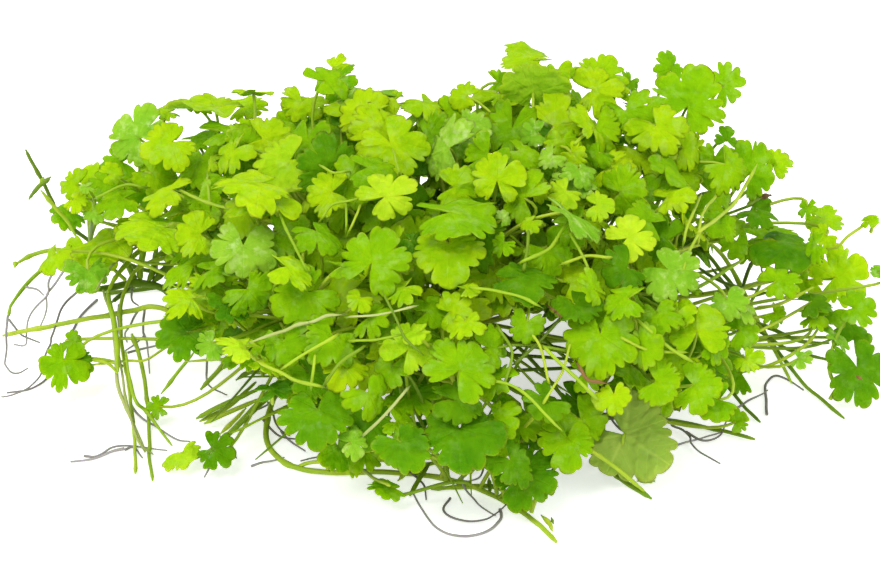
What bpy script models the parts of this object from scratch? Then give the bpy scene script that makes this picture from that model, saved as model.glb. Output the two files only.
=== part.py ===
"""A clump of pennywort: cut creeping stems, round lobed leaves on long stalks, and thread roots.

The clump lies loose on a flat surface, as lifted out of the water. Every leaf is one solid, its blade and
its stalk, and so is every creeping stem and every root. All tables are in millimetres, and the build turns
them into metres. The origin is on the surface, at the middle of the clump's box. +X runs to the right and
-Y to the front, as the clump is usually looked at.
"""

import itertools
import math
from collections import namedtuple

import bmesh
import bpy
import numpy as np
from mathutils import Vector

MM = 0.001

# How the clump is looked at: leaves are laid out by where they are seen from a low standpoint
EYE_DISTANCE = 500.0
EYE_ELEVATION = math.radians(28)
SIGHT_CENTRE = Vector((0, 0, 18))

# The rounded top that the leaves form: its half width, half depth and height
DOME = Vector((64, 48, 48))

# Stems, stalks, roots and blades
STEM_RADIUS = 0.65
STALK_RADIUS = 0.42
ROOT_RADIUS = 0.36
BLADE_THICKNESS = 0.5
WELD_DISTANCE = 0.001
HEX_FLAT = math.cos(math.radians(30))
STEM_POINTS = 13
ROOT_POINTS = 12
STALK_POINTS = 5
RIM_SHARES = (-1, -0.62, 0.62)

# Clearances that keep one piece off another
PIECE_GAP = 0.3
BLADE_CLEARANCES = {"blade": 1.15, "stalk": 1.3, "stem": 1.8, "root": 1.2}
STALK_CLEARANCES = {"blade": 1.3, "stalk": 1.35, "root": 1.2}
STALK_FROM_STEM = 1.5
STALK_FROM_OWN_BLADE = 1.0
STALK_FOOT_DROP = 0.05
FOOT_SPACING = 1.0
LOWEST_LEAVE = -0.3
LIFT_STEP = 0.7
LONGEST_LIFT = 14.0
STALK_LONGEST = 46.0
STALK_SHORTEST = 5.0
CLOUD_SHARES = (-1, -0.8, -0.55, -0.3, 0, 0.3, 0.55, 0.8)
CLOUD_OUTS = (0.2, 0.3, 0.4, 0.5, 0.6, 0.7, 0.8, 0.9, 1.0)
CLOUD_STALK = 49
CLOUD_FOOT = 5
SIDE_LEAF_FROM = slice(6, 22)
STALK_LEANS = (0.8, 0, 3)
STALK_PITCHES = (15, 50, -20)
STALK_PULLS = (0.36, 0.2, 0.6)

# Leaf outline and form, as shares of the blade's radius
BACK_GAP_DEG = 34
BACK_CUT = 0.72
REAR_LOBE_LENGTH = 0.84
LOBE_SQUARENESS = 5
FOLD = 0.07

# Colour and roughness of each finish
FINISHES = {
    "young": ((0.47, 0.70, 0.04), 0.42),
    "light": ((0.26, 0.55, 0.02), 0.40),
    "mid": ((0.17, 0.45, 0.01), 0.40),
    "dark": ((0.07, 0.26, 0.01), 0.38),
    "waxy": ((0.33, 0.60, 0.14), 0.34),
    "old": ((0.26, 0.34, 0.09), 0.50),
    "stem": ((0.36, 0.50, 0.06), 0.40),
    "root": ((0.20, 0.17, 0.15), 0.60),
}

# Creeping stems: points along each, from its free end inwards. A height of 0 lies on the surface.
STEMS = {
    "stem_left_long": [
        (-72, 13.3, 3), (-62, 13, 3), (-52, 11, 5), (-40, 8, 8), (-24, 4, 10), (-6, 4, 8), (12, 8, 5),
        (30, 12, 2.5)],
    "stem_left_fall": [
        (-49, -29, 0), (-50.2, -18, 1.6), (-52.3, -4, 3.5), (-54.5, 8, 8), (-53, 17, 13), (-44, 20, 15),
        (-30, 20, 13), (-14, 17, 10)],
    "stem_left_branch": [
        (-46.2, -31, 0), (-47.6, -20, 0.6), (-48.6, -9, 2.4), (-50.6, 0, 5.6), (-52.2, 3.8, 8.4)],
    "stem_left_stalk": [
        (-69, 30, 29), (-66, 28, 22.5), (-61, 25, 15), (-53, 25, 10), (-44, 26, 8), (-34, 30, 6),
        (-22, 34, 3), (-8, 34, 0), (6, 34, 0)],
    "stem_front": [
        (18, -49, 0), (15, -43.5, 0), (10, -37, 0), (2, -31, 0), (-8, -28.5, 0), (-18, -28.5, 0),
        (-25, -25.5, 0), (-28.5, -18, 1.2), (-28, -10, 2.5), (-25, -2, 4.5), (-18, 6, 5)],
    "stem_front_right": [(33.5, -36.5, 0), (28, -29, 0.4), (22, -20, 2.5), (13, -10, 5), (2, -3, 6)],
    "stem_right_long": [
        (67, -11.5, 0), (60, 1, 2.5), (55, 10, 6), (49, 16, 13), (43, 18, 18), (34, 17, 17), (22, 10, 14),
        (8, 2, 13), (-6, -7, 11), (-16, -11, 8)],
    "stem_right_fall": [
        (53, -12.4, 0), (48.5, -2, 1.6), (44, 6, 3.5), (38, 12, 6), (30, 18, 8), (21, 22, 6)],
    "stem_right_low": [
        (51.7, -18, 0), (42, -13, 0), (32, -11, 0.4), (20, -13, 0.6), (8, -17, 0), (-6, -19, 0),
        (-17, -17, 0)],
    "stem_right_arm": [
        (24, 26, 2), (34, 24, 4), (42, 22, 5.5), (54, 20, 9), (62, 18.5, 12.5), (68, 17, 14)],
    "stem_back": [
        (-60, 33, 0), (-46, 36, 0), (-30, 38, 3), (-15, 40, 5), (0, 40, 5), (15, 38, 3), (30, 35, 0),
        (44, 31, 0)],
    "stem_arch": [
        (-40, -6, 3), (-33, -4, 10), (-22, -3, 17), (-8, -2, 21), (8, 0, 21), (22, 3, 18), (33, 4, 12)],
}

# Roots: each grows from a stem and lies on the surface
ROOTS = {
    "root_left": [
        (-61.2, 31, 0), (-63.6, 24, 0), (-65, 14, 0), (-66.5, 4, 0), (-69, -1, 0), (-73, -2.5, 0)],
    "root_left_low": [(-51.6, -20.6, 0), (-53.5, -21.6, 0), (-56.5, -23.8, 0), (-60, -24.6, 0)],
    "root_front": [
        (9.4, -39.2, 0), (9.6, -42, 0), (7.5, -45.6, 0), (3.7, -47, 0), (0, -45.4, 0), (-2.6, -40, 0),
        (-4.2, -34.5, 0)],
    "root_right": [
        (54.4, -9.6, 0), (54.9, -2.3, 0), (55.3, 0.6, 0), (57, 3.4, 0), (59.3, 2, 0), (61.5, -1.3, 0)],
}

# Leaves. bearing is where the row is looked at from, 0 for the front and 180 for behind. across and up are
# where the leaf's heart is seen from there, and height is its height over the surface, or None on the dome.
# tip is the clock hour that its middle lobe points to. turn and nod say how far it faces right and up, and
# past 90 it faces away. cut is how deep its lobes are parted and droop how far its rim hangs.
Leaf = namedtuple("Leaf", "name bearing across up height width tip turn nod lobes cut droop tone")
LEAVES = [
    Leaf("leaf_01", 0, 15.0, 39.0, 53, 10.5, 10, 10, 70, 5, 0.40, 0.20, "light"),
    Leaf("leaf_02", 0, -19.2, 35.5, 50, 8.5, 2, 25, 35, 4, 0.50, 0.20, "mid"),
    Leaf("leaf_03", 0, 41.3, 31.3, 44, 15.5, 1, 8, 12, 5, 0.50, 0.12, "mid"),
    Leaf("leaf_04", 0, -37.5, 31.0, 42, 15.7, 9, 0, 98, 5, 0.15, 0.35, "light"),
    Leaf("leaf_05", 0, 15.5, 33.5, 47, 12.7, 12, 0, 150, 5, 0.40, 0.15, "mid"),
    Leaf("leaf_06", 0, -50.3, 26.0, 36, 10.5, 10, -10, 10, 5, 0.50, 0.15, "waxy"),
    Leaf("leaf_07", 0, -15.8, 31.5, 46, 12.7, 3, 0, 72, 5, 0.15, 0.30, "light"),
    Leaf("leaf_08", 0, -22.5, 29.0, None, 13.3, 7, -15, 25, 5, 0.15, 0.25, "light"),
    Leaf("leaf_09", 0, 4.2, 27.5, None, 10.3, 5, 0, 15, 5, 0.30, 0.20, "waxy"),
    Leaf("leaf_10", 0, 51.7, 20.3, 32, 10.7, 1, 15, 5, 5, 0.40, 0.10, "mid"),
    Leaf("leaf_11", 0, -57.5, 17.3, 24, 11.0, 11, -20, 15, 5, 0.30, 0.15, "light"),
    Leaf("leaf_12", 0, -25.0, 22.3, None, 12.0, 8, -10, 20, 5, 0.12, 0.20, "young"),
    Leaf("leaf_13", 0, 9.5, 19.0, None, 10.5, 12, 0, 5, 5, 0.45, 0.10, "light"),
    Leaf("leaf_14", 0, -28.3, 16.5, None, 16.5, 9, 0, 66, 5, 0.12, 0.25, "light"),
    Leaf("leaf_15", 0, -46.7, 11.0, None, 16.5, 9, 10, 66, 5, 0.15, 0.20, "light"),
    Leaf("leaf_16", 0, -9.2, 16.2, None, 10.3, 2, 0, 20, 5, 0.55, 0.10, "young"),
    Leaf("leaf_17", 0, 2.0, 13.5, None, 16.5, 3, 0, 60, 5, 0.12, 0.25, "mid"),
    Leaf("leaf_18", 0, -58.7, 6.3, 17, 8.8, 6, -10, 0, 5, 0.50, 0.10, "light"),
    Leaf("leaf_19", 0, 31.2, 9.3, None, 9.5, 2, 0, 20, 4, 0.58, 0.10, "young"),
    Leaf("leaf_20", 0, 57.0, 8.7, 23, 15.5, 3, 10, 80, 5, 0.20, 0.35, "dark"),
    Leaf("leaf_21", 0, 63.8, 12.5, 22, 9.0, 4, 0, 45, 3, 0.50, 0.10, "light"),
    Leaf("leaf_22", 0, -32.8, 8.0, None, 12.0, 6, 0, 15, 5, 0.35, 0.15, "waxy"),
    Leaf("leaf_23", 0, 65.8, 2.8, 14, 12.5, 2, 0, 20, 5, 0.50, 0.12, "light"),
    Leaf("leaf_24", 0, 1.3, 8.0, None, 13.0, 6, 0, 35, 5, 0.20, 0.20, "light"),
    Leaf("leaf_25", 0, -11.3, 5.3, None, 12.3, 1, 0, 5, 5, 0.45, 0.10, "mid"),
    Leaf("leaf_26", 0, 69.5, -12.3, 7, 13.0, 5, 0, 15, 5, 0.35, 0.12, "dark"),
    Leaf("leaf_27", 0, 26.7, -6.8, None, 13.3, 6, 0, 20, 5, 0.20, 0.20, "mid"),
    Leaf("leaf_28", 0, 42.8, -6.3, None, 13.0, 12, 0, 25, 4, 0.55, 0.12, "light"),
    Leaf("leaf_29", 0, -42.2, -6.5, None, 11.0, 8, 0, 15, 5, 0.40, 0.12, "dark"),
    Leaf("leaf_30", 0, -62.7, -11.0, 8, 9.0, 7, 0, 10, 5, 0.55, 0.10, "mid"),
    Leaf("leaf_31", 0, -37.8, -26.0, 5, 7.8, 4, 0, 20, 5, 0.55, 0.10, "dark"),
    Leaf("leaf_32", 0, -5.3, -9.3, None, 9.7, 1, 0, 20, 5, 0.50, 0.10, "young"),
    Leaf("leaf_33", 0, -20.5, -19.3, None, 12.3, 6, 0, 25, 5, 0.20, 0.15, "dark"),
    Leaf("leaf_34", 0, 3.3, -12.7, None, 12.0, 1, 0, 20, 5, 0.40, 0.12, "mid"),
    Leaf("leaf_35", 0, -17.0, -25.5, 10, 9.5, 6, 55, 15, 5, 0.15, 0.20, "mid"),
    Leaf("leaf_36", 0, 3.3, -22.5, None, 14.0, 6, 0, 35, 5, 0.20, 0.15, "dark"),
    Leaf("leaf_37", 0, 13.7, -29.8, 8, 12.7, 4, 0, 30, 5, 0.35, 0.15, "dark"),
    Leaf("leaf_38", 0, 21.2, -24.0, 11, 11.0, 6, 0, 20, 5, 0.50, 0.10, "mid"),
    Leaf("leaf_39", 0, 30.8, -23.5, 8.5, 17.5, 4, 0, 190, 5, 0.15, 0.08, "old"),
    Leaf("leaf_40", 180, -30.0, 16.0, None, 13.0, 6, 0, 30, 5, 0.30, 0.20, "mid"),
    Leaf("leaf_41", 180, 2.0, 14.0, None, 14.0, 7, 0, 35, 5, 0.20, 0.20, "light"),
    Leaf("leaf_42", 180, 34.0, 12.0, None, 12.5, 5, 0, 30, 5, 0.35, 0.15, "light"),
    Leaf("leaf_43", 180, -16.0, -6.0, None, 12.5, 6, 0, 25, 5, 0.40, 0.15, "mid"),
    Leaf("leaf_44", 180, 20.0, -8.0, None, 12.0, 1, 0, 20, 5, 0.45, 0.12, "mid"),
]

# Leaves that spring from the stalk of another leaf, a little over its foot
SIDE_LEAVES = [
    Leaf("leaf_45", 0, 26.5, 36.3, 49, 11.0, 1, 10, 35, 5, 0.45, 0.15, "light"),
    Leaf("leaf_46", 0, 39.7, 21.8, None, 13.5, 1, 0, 15, 5, 0.35, 0.15, "young"),
    Leaf("leaf_47", 0, -35.5, 27.0, None, 12.8, 3, 0, 60, 5, 0.20, 0.20, "mid"),
    Leaf("leaf_48", 0, -8.3, 25.2, None, 12.3, 5, 0, 20, 5, 0.35, 0.15, "light"),
    Leaf("leaf_49", 0, -44.7, 25.3, None, 10.5, 8, 0, 30, 5, 0.25, 0.15, "light"),
    Leaf("leaf_50", 0, 38.0, 4.0, None, 10.0, 4, 0, 15, 5, 0.25, 0.15, "waxy"),
    Leaf("leaf_51", 0, -22.2, 0.2, None, 12.7, 8, 0, 20, 5, 0.30, 0.15, "mid"),
    Leaf("leaf_52", 0, 13.0, 2.7, None, 11.0, 3, 0, 55, 5, 0.20, 0.20, "dark"),
    Leaf("leaf_53", 0, -6.5, -24.8, None, 9.7, 5, 0, 30, 5, 0.10, 0.15, "dark"),
    Leaf("leaf_54", 0, 69.0, -2.3, None, 8.0, 3, 0, 30, 5, 0.35, 0.12, "mid"),
]


def clear_scene():
    for thing in list(bpy.data.objects):
        bpy.data.objects.remove(thing)


def new_collection(name):
    made = bpy.data.collections.new(name)
    bpy.context.scene.collection.children.link(made)
    return made


def finish_of(name):
    """The Principled material of that finish, made once."""
    made = bpy.data.materials.get(name)
    if made is None:
        colour, roughness = FINISHES[name]
        made = bpy.data.materials.new(name)
        made.use_nodes = True
        shader = made.node_tree.nodes["Principled BSDF"]
        shader.inputs["Base Color"].default_value = (*colour, 1)
        shader.inputs["Roughness"].default_value = roughness
        shader.inputs["Metallic"].default_value = 0
    return made


def sight_axes(bearing):
    """The directions to the right, upwards and towards the eye, as seen from that bearing."""
    turn = math.radians(bearing)
    right = Vector((math.cos(turn), math.sin(turn), 0))
    away = Vector((-math.sin(turn), math.cos(turn), 0))
    towards = Vector((0, 0, math.sin(EYE_ELEVATION))) - away * math.cos(EYE_ELEVATION)
    upwards = Vector((0, 0, math.cos(EYE_ELEVATION))) + away * math.sin(EYE_ELEVATION)
    return right, upwards, towards


def heart_of(leaf, lift):
    """Where the stalk meets the blade: on the line of sight, at its height or on the dome, and lifted."""
    right, upwards, towards = sight_axes(leaf.bearing)
    aside = right * leaf.across + upwards * leaf.up
    start = SIGHT_CENTRE + aside
    step = towards - aside / EYE_DISTANCE
    if leaf.height is not None:
        return start + step * ((leaf.height - start.z) / step.z + lift)
    p = Vector(a / b for a, b in zip(start, DOME))
    d = Vector(a / b for a, b in zip(step, DOME))
    nearest = -p.dot(d) / d.dot(d)
    inside = nearest * nearest - (p.dot(p) - 1) / d.dot(d)
    return start + step * (nearest + math.sqrt(max(inside, 0)) + lift)


def leaf_axes(leaf):
    """The blade's own directions: to its side, along its middle lobe, and out of its upper face."""
    right, upwards, towards = sight_axes(leaf.bearing)
    turn, nod, hour = math.radians(leaf.turn), math.radians(leaf.nod), math.radians(30 * leaf.tip)
    face = math.cos(nod) * (math.cos(turn) * towards + math.sin(turn) * right) + math.sin(nod) * upwards
    tip = math.sin(hour) * right + math.cos(hour) * upwards
    tip = (tip - face * tip.dot(face)).normalized()
    return tip.cross(face), tip, face


def rim_reach(leaf, lobe, share):
    """How far the rim is from the heart, and its angle, at a share of a lobe's half width from -1 to 1."""
    span = math.radians(360 - BACK_GAP_DEG) / leaf.lobes
    middle = (leaf.lobes - 1) / 2
    rearness = abs(lobe - middle) / middle
    length = 1 - (1 - REAR_LOBE_LENGTH) * rearness**2
    at_back = (lobe == 0 and share < 0) or (lobe == leaf.lobes - 1 and share > 0)
    cut = max(leaf.cut, BACK_CUT) if at_back else leaf.cut
    reach = length * (1 - cut * abs(share) ** LOBE_SQUARENESS)
    return leaf.width / 2 * reach, (lobe - middle + share / 2) * span


def blade_point(leaf, share_out, reach, angle, lobe_share):
    """A point of the blade in its own directions: side, tip and face."""
    out = share_out * reach
    radius = leaf.width / 2
    height = -leaf.droop * out * out / radius + FOLD * out * abs(lobe_share)
    return Vector((out * math.sin(angle), out * math.cos(angle), height))


def rim_points(leaf, lobe_shares):
    """(reach, angle, lobe share) round the whole rim, one side of the gap at the back to the other."""
    rim = [(*rim_reach(leaf, lobe, share), share) for lobe in range(leaf.lobes) for share in lobe_shares]
    return rim + [(*rim_reach(leaf, leaf.lobes - 1, 1), 1)]


def smooth_route(route, count, floor):
    """Points spread along a smooth curve through the route, none under the floor height."""
    knots = [Vector(p) for p in route]
    knots = [2 * knots[0] - knots[1], *knots, 2 * knots[-1] - knots[-2]]
    found = []
    for i in range(count):
        at = i * (len(route) - 1) / (count - 1)
        span = min(int(at), len(route) - 2)
        t = at - span
        a, b, c, d = knots[span : span + 4]
        point = b + 0.5 * t * (c - a + t * (2 * a - 5 * b + 4 * c - d + t * (3 * (b - c) + d - a)))
        point.z = max(point.z, floor)
        found.append(point)
    return found


def spread_points(points, spacing):
    """Points at that spacing along straight runs between the points."""
    found = [points[0]]
    for a, b in zip(points, points[1:]):
        steps = max(1, math.ceil((b - a).length / spacing))
        found += [a.lerp(b, i / steps) for i in range(1, steps + 1)]
    return found


class Space:
    """What is taken already: points on blades, stalks and stems, each group with its middle and reach."""

    def __init__(self):
        self.groups = []

    def take(self, kind, owner, points):
        cloud = np.array([tuple(p) for p in points])
        middle = cloud.mean(axis=0)
        reach = np.linalg.norm(cloud - middle, axis=1).max()
        self.groups.append((kind, owner, cloud, middle, reach))

    def margin(self, points, clearances, left_out=()):
        """The least distance from the points to what is taken, over the clearance for its kind."""
        cloud = np.array([tuple(p) for p in points])
        middle = cloud.mean(axis=0)
        reach = np.linalg.norm(cloud - middle, axis=1).max()
        least = math.inf
        for kind, holder, others, centre, spread in self.groups:
            if kind not in clearances or holder in left_out:
                continue
            if np.linalg.norm(centre - middle) > reach + spread + clearances[kind]:
                continue
            apart = np.linalg.norm(cloud[:, None] - others[None], axis=2).min()
            least = min(least, apart - clearances[kind])
        return least

    def box_middle(self):
        """The middle of the box round everything taken, on the surface."""
        every = np.concatenate([group[2] for group in self.groups])
        middle = (every.min(axis=0) + every.max(axis=0)) / 2
        return Vector((middle[0], middle[1], 0))


def blade_cloud(leaf, heart):
    side, tip, face = leaf_axes(leaf)
    cloud = [heart]
    for reach, angle, share in rim_points(leaf, CLOUD_SHARES):
        for out in CLOUD_OUTS:
            p = blade_point(leaf, out, reach, angle, share)
            cloud.append(heart + side * p.x + tip * p.y + face * p.z)
    return cloud


def place_leaf(leaf, space):
    """The heart of the leaf, lifted towards the eye until its blade is clear of what lies there."""
    lift = 0.0
    while True:
        heart = heart_of(leaf, lift)
        cloud = blade_cloud(leaf, heart)
        margin = space.margin(cloud, BLADE_CLEARANCES)
        if margin > 0 and min(p.z for p in cloud) > BLADE_THICKNESS:
            space.take("blade", leaf.name, cloud)
            return heart
        lift += LIFT_STEP
        if lift > LONGEST_LIFT:
            raise ValueError(f"{leaf.name} finds no room for its blade")


def stalk_curve(foot, leave, heart, arrive, pull_share, count):
    """A stalk that leaves the stem along one direction and comes to the blade along another."""
    pull = pull_share * (heart - foot).length
    a, b, c, d = foot, foot + leave * pull, heart - arrive * pull, heart
    found = []
    for i in range(count):
        t = i / (count - 1)
        s = 1 - t
        found.append(a * s**3 + b * (3 * s * s * t) + c * (3 * s * t * t) + d * t**3)
    return found


def stalk_starts(heart, hosts, host_radius):
    """(length, host, foot, way off) for each place on the hosts that a stalk could start from."""
    starts = []
    for host, points in hosts.items():
        for before, at, after in zip(points, points[1:], points[2:]):
            along = (after - before).normalized()
            span = heart - at
            if not STALK_SHORTEST < span.length < STALK_LONGEST:
                continue
            for lean in STALK_LEANS:
                leave = span.normalized() + Vector((0, 0, lean))
                leave = (leave - along * leave.dot(along)).normalized()
                if leave.z > LOWEST_LEAVE:
                    starts.append((span.length, host, at + leave * host_radius, leave))
    return sorted(starts, key=lambda start: start[0])


def stalk_of(leaf, heart, hosts, host_radius, space):
    """The shortest stalk up to the heart that is clear of every other piece, and the host it grows from."""
    tip, face = leaf_axes(leaf)[1:]
    own = Space()
    rings = len(CLOUD_OUTS)
    outer = [p for i, p in enumerate(blade_cloud(leaf, heart)[1:]) if i % rings > rings // 3]
    own.take("blade", "own", outer)
    for _, host, foot, leave in stalk_starts(heart, hosts, host_radius):
        for pitch, pull in itertools.product(STALK_PITCHES, STALK_PULLS):
            arrive = face * math.cos(math.radians(pitch)) + tip * math.sin(math.radians(pitch))
            curve = stalk_curve(foot, leave, heart, arrive, pull, CLOUD_STALK)
            upper = curve[CLOUD_FOOT:]
            if min(p.z for p in curve) < STALK_RADIUS + PIECE_GAP:
                continue
            if own.margin(curve[CLOUD_FOOT:-CLOUD_FOOT], {"blade": STALK_FROM_OWN_BLADE}) < 0:
                continue
            if space.margin(upper, {"stem": STALK_FROM_STEM}) < 0:
                continue
            if space.margin(curve, STALK_CLEARANCES, {leaf.name, host}) < 0:
                continue
            if space.margin(upper, STALK_CLEARANCES, {leaf.name}) > 0:
                space.take("stalk", leaf.name, curve)
                return host, stalk_curve(foot, leave, heart, arrive, pull, STALK_POINTS), curve
    raise ValueError(f"{leaf.name} finds no clear way down to a stem")


def tube(name, points, radius, sides_resolution, twist, collection):
    """A round rod along the points, with closed ends."""
    curve = bpy.data.curves.new(name, "CURVE")
    curve.dimensions = "3D"
    curve.twist_mode = twist
    curve.bevel_depth = radius * MM
    curve.bevel_resolution = sides_resolution
    curve.use_fill_caps = True
    spline = curve.splines.new("POLY")
    spline.points.add(len(points) - 1)
    for place, point in zip(spline.points, points):
        place.co = (*(point * MM), 1)
    made = bpy.data.objects.new(name, curve)
    collection.objects.link(made)
    return made


def meshed(curve_object):
    """The curve object as a mesh object with its caps welded on."""
    graph = bpy.context.evaluated_depsgraph_get()
    mesh = bpy.data.meshes.new_from_object(curve_object.evaluated_get(graph))
    work = bmesh.new()
    work.from_mesh(mesh)
    bmesh.ops.remove_doubles(work, verts=work.verts, dist=WELD_DISTANCE * MM)
    bmesh.ops.recalc_face_normals(work, faces=work.faces)
    work.to_mesh(mesh)
    work.free()
    name, collection = curve_object.name, curve_object.users_collection[0]
    bpy.data.objects.remove(curve_object)
    made = bpy.data.objects.new(name, mesh)
    collection.objects.link(made)
    return made


def as_helper(thing):
    thing.hide_render = True
    thing.display_type = "WIRE"
    return thing


def blade_shell(leaf, heart, collection):
    """The blade alone, as a thin closed shell."""
    side, tip, face = leaf_axes(leaf)
    rim = rim_points(leaf, RIM_SHARES)
    work = bmesh.new()
    made = bmesh.ops.create_circle(work, cap_ends=True, cap_tris=True, radius=1, segments=len(rim))
    places = [Vector((0, 0, 0)), *(blade_point(leaf, 1, *at) for at in reversed(rim))]
    hub = max(work.verts, key=lambda v: len(v.link_edges))
    for vert, p in zip([hub, *(v for v in made["verts"] if v is not hub)], places):
        vert.co = (heart + side * p.x + tip * p.y + face * p.z) * MM
    bmesh.ops.recalc_face_normals(work, faces=work.faces)
    mesh = bpy.data.meshes.new(leaf.name)
    work.to_mesh(mesh)
    work.free()
    mesh.materials.append(finish_of(leaf.tone))
    blade = bpy.data.objects.new(leaf.name, mesh)
    collection.objects.link(blade)
    shell = blade.modifiers.new("thickness", "SOLIDIFY")
    shell.thickness = BLADE_THICKNESS * MM
    shell.offset = 0
    return blade


def join(thing, helper):
    """Adds the helper's body to the thing's."""
    union = thing.modifiers.new(helper.name, "BOOLEAN")
    union.operation = "UNION"
    union.object = as_helper(helper)


def lay_out():
    """Routes of the stems and roots, leaves as (leaf, heart, stalk, host), and the middle of the box."""
    space = Space()
    rest = STEM_RADIUS * HEX_FLAT
    stems = {name: smooth_route(route, STEM_POINTS, rest) for name, route in STEMS.items()}
    roots = {name: smooth_route(route, ROOT_POINTS, ROOT_RADIUS) for name, route in ROOTS.items()}
    feet = {name: spread_points(points, FOOT_SPACING) for name, points in stems.items()}
    for name, points in feet.items():
        space.take("stem", name, points)
    for name, points in roots.items():
        space.take("root", name, spread_points(points, FOOT_SPACING))
    hearts = {leaf.name: place_leaf(leaf, space) for leaf in LEAVES}
    placed, hosts = [], {}
    for leaf in LEAVES:
        heart = hearts[leaf.name]
        host, stalk, curve = stalk_of(leaf, heart, feet, STEM_RADIUS + PIECE_GAP + STALK_FOOT_DROP, space)
        placed.append((leaf, heart, stalk, host))
        hosts[leaf.name] = curve[SIDE_LEAF_FROM]
    for leaf in SIDE_LEAVES:
        heart = place_leaf(leaf, space)
        host, stalk, _ = stalk_of(leaf, heart, hosts, 0, space)
        placed.append((leaf, heart, stalk, host))
        hosts.pop(host)
    return stems, roots, placed, space.box_middle()


def build():
    clear_scene()
    parts = new_collection("pennywort")
    helpers = new_collection("bodies to join")
    stems, roots, placed, middle = lay_out()
    for name, points in stems.items():
        tube(name, points, STEM_RADIUS, 1, "Z_UP", parts).data.materials.append(finish_of("stem"))
    for name, points in roots.items():
        tube(name, points, ROOT_RADIUS, 0, "Z_UP", parts).data.materials.append(finish_of("root"))
    solids = {}
    for leaf, heart, stalk, host in placed:
        rod = meshed(tube(leaf.name + "_stalk", stalk, STALK_RADIUS, 0, "MINIMUM", helpers))
        if host in solids:
            join(solids[host], rod)
            join(solids[host], blade_shell(leaf, heart, helpers))
        else:
            solids[leaf.name] = blade_shell(leaf, heart, parts)
            join(solids[leaf.name], rod)
    for thing in [*parts.objects, *helpers.objects]:
        thing.location = -middle * MM


build()
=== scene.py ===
"""The looks of a clump of pennywort: creeping stems, round lobed leaves on long stalks, and thread roots."""

import itertools
import math
from collections import namedtuple

import bmesh
import bpy
import numpy as np
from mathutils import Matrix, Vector


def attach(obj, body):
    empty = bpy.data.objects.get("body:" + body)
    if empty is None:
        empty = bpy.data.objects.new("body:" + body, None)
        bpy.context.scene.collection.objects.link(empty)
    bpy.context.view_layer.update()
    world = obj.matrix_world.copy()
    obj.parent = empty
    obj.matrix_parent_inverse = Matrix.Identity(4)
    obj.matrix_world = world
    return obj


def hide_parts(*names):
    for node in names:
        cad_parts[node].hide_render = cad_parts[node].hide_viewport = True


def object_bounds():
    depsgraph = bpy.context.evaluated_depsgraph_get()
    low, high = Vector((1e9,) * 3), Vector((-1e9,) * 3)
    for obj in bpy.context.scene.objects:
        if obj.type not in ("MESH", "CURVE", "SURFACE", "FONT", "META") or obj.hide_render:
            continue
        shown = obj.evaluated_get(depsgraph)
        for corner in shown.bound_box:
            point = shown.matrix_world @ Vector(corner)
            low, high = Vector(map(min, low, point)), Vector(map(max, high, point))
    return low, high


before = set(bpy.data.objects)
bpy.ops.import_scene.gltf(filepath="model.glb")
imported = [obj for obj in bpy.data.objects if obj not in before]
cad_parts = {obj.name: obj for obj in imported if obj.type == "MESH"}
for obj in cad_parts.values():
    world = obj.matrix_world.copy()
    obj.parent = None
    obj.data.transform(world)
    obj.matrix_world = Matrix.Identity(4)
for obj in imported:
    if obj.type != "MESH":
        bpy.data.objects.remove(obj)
FRAME_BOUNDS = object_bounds()

bl_info = {
    "name": "Pennywort Clump",
    "version": (1, 0, 0),
    "blender": (4, 5, 0),
    "location": "3D View > Sidebar > Pennywort",
    "description": "Grows a loose clump of pennywort with lobed leaves, creeping stems and thread roots",
    "category": "Object",
}

MM = 0.001

# How the clump is looked at. Lengths here and below are in millimetres unless a comment says otherwise.
EYE_DISTANCE = 500.0
EYE_ELEVATION = math.radians(28)
SIGHT_CENTRE = Vector((0, 0, 18))
VIEW_WIDTH = 146.67
SENSOR_WIDTH = 36.0

# The rounded top that the leaves form: its half width, half depth and height
DOME = Vector((64, 48, 48))

# Solid stems, stalks and roots, and the points that each one's smooth way has
STEM_RADIUS = 0.65
STALK_RADIUS = 0.42
ROOT_RADIUS = 0.36
HEX_FLAT = math.cos(math.radians(30))
STEM_POINTS = 13
ROOT_POINTS = 12
BLADE_THICKNESS = 0.5

# Clearances that keep one piece off another
PIECE_GAP = 0.3
BLADE_CLEARANCES = {"blade": 1.15, "stalk": 1.3, "stem": 1.8, "root": 1.2}
STALK_CLEARANCES = {"blade": 1.3, "stalk": 1.35, "root": 1.2}
STALK_FROM_STEM = 1.5
STALK_FROM_OWN_BLADE = 1.0
STALK_FOOT_DROP = 0.05
FOOT_SPACING = 1.0
LOWEST_LEAVE = -0.3
LIFT_STEP = 0.7
LONGEST_LIFT = 14.0
STALK_LONGEST = 46.0
STALK_SHORTEST = 5.0
CLOUD_SHARES = (-1, -0.8, -0.55, -0.3, 0, 0.3, 0.55, 0.8)
CLOUD_OUTS = (0.2, 0.3, 0.4, 0.5, 0.6, 0.7, 0.8, 0.9, 1.0)
CLOUD_STALK = 49
CLOUD_FOOT = 5
SIDE_LEAF_FROM = slice(6, 22)
STALK_LEANS = (0.8, 0, 3)
STALK_PITCHES = (15, 50, -20)
STALK_PULLS = (0.36, 0.2, 0.6)

# Outline and form of a solid leaf, as shares of the blade's radius
BACK_GAP_DEG = 34
BACK_CUT = 0.72
REAR_LOBE_LENGTH = 0.84
LOBE_SQUARENESS = 5
FOLD = 0.07

# How the shown blades are made finer than the solid ones
RING_CROWDING = 1.6
LOBE_BULGE = 0.1
SHOWN_SQUARENESS = 3.4
TOOTH_ROUNDNESS = 0.6
WELD = 1e-6
LARGE_LEAF = 9.0
LEAVES_A_PIECE = 80

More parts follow.
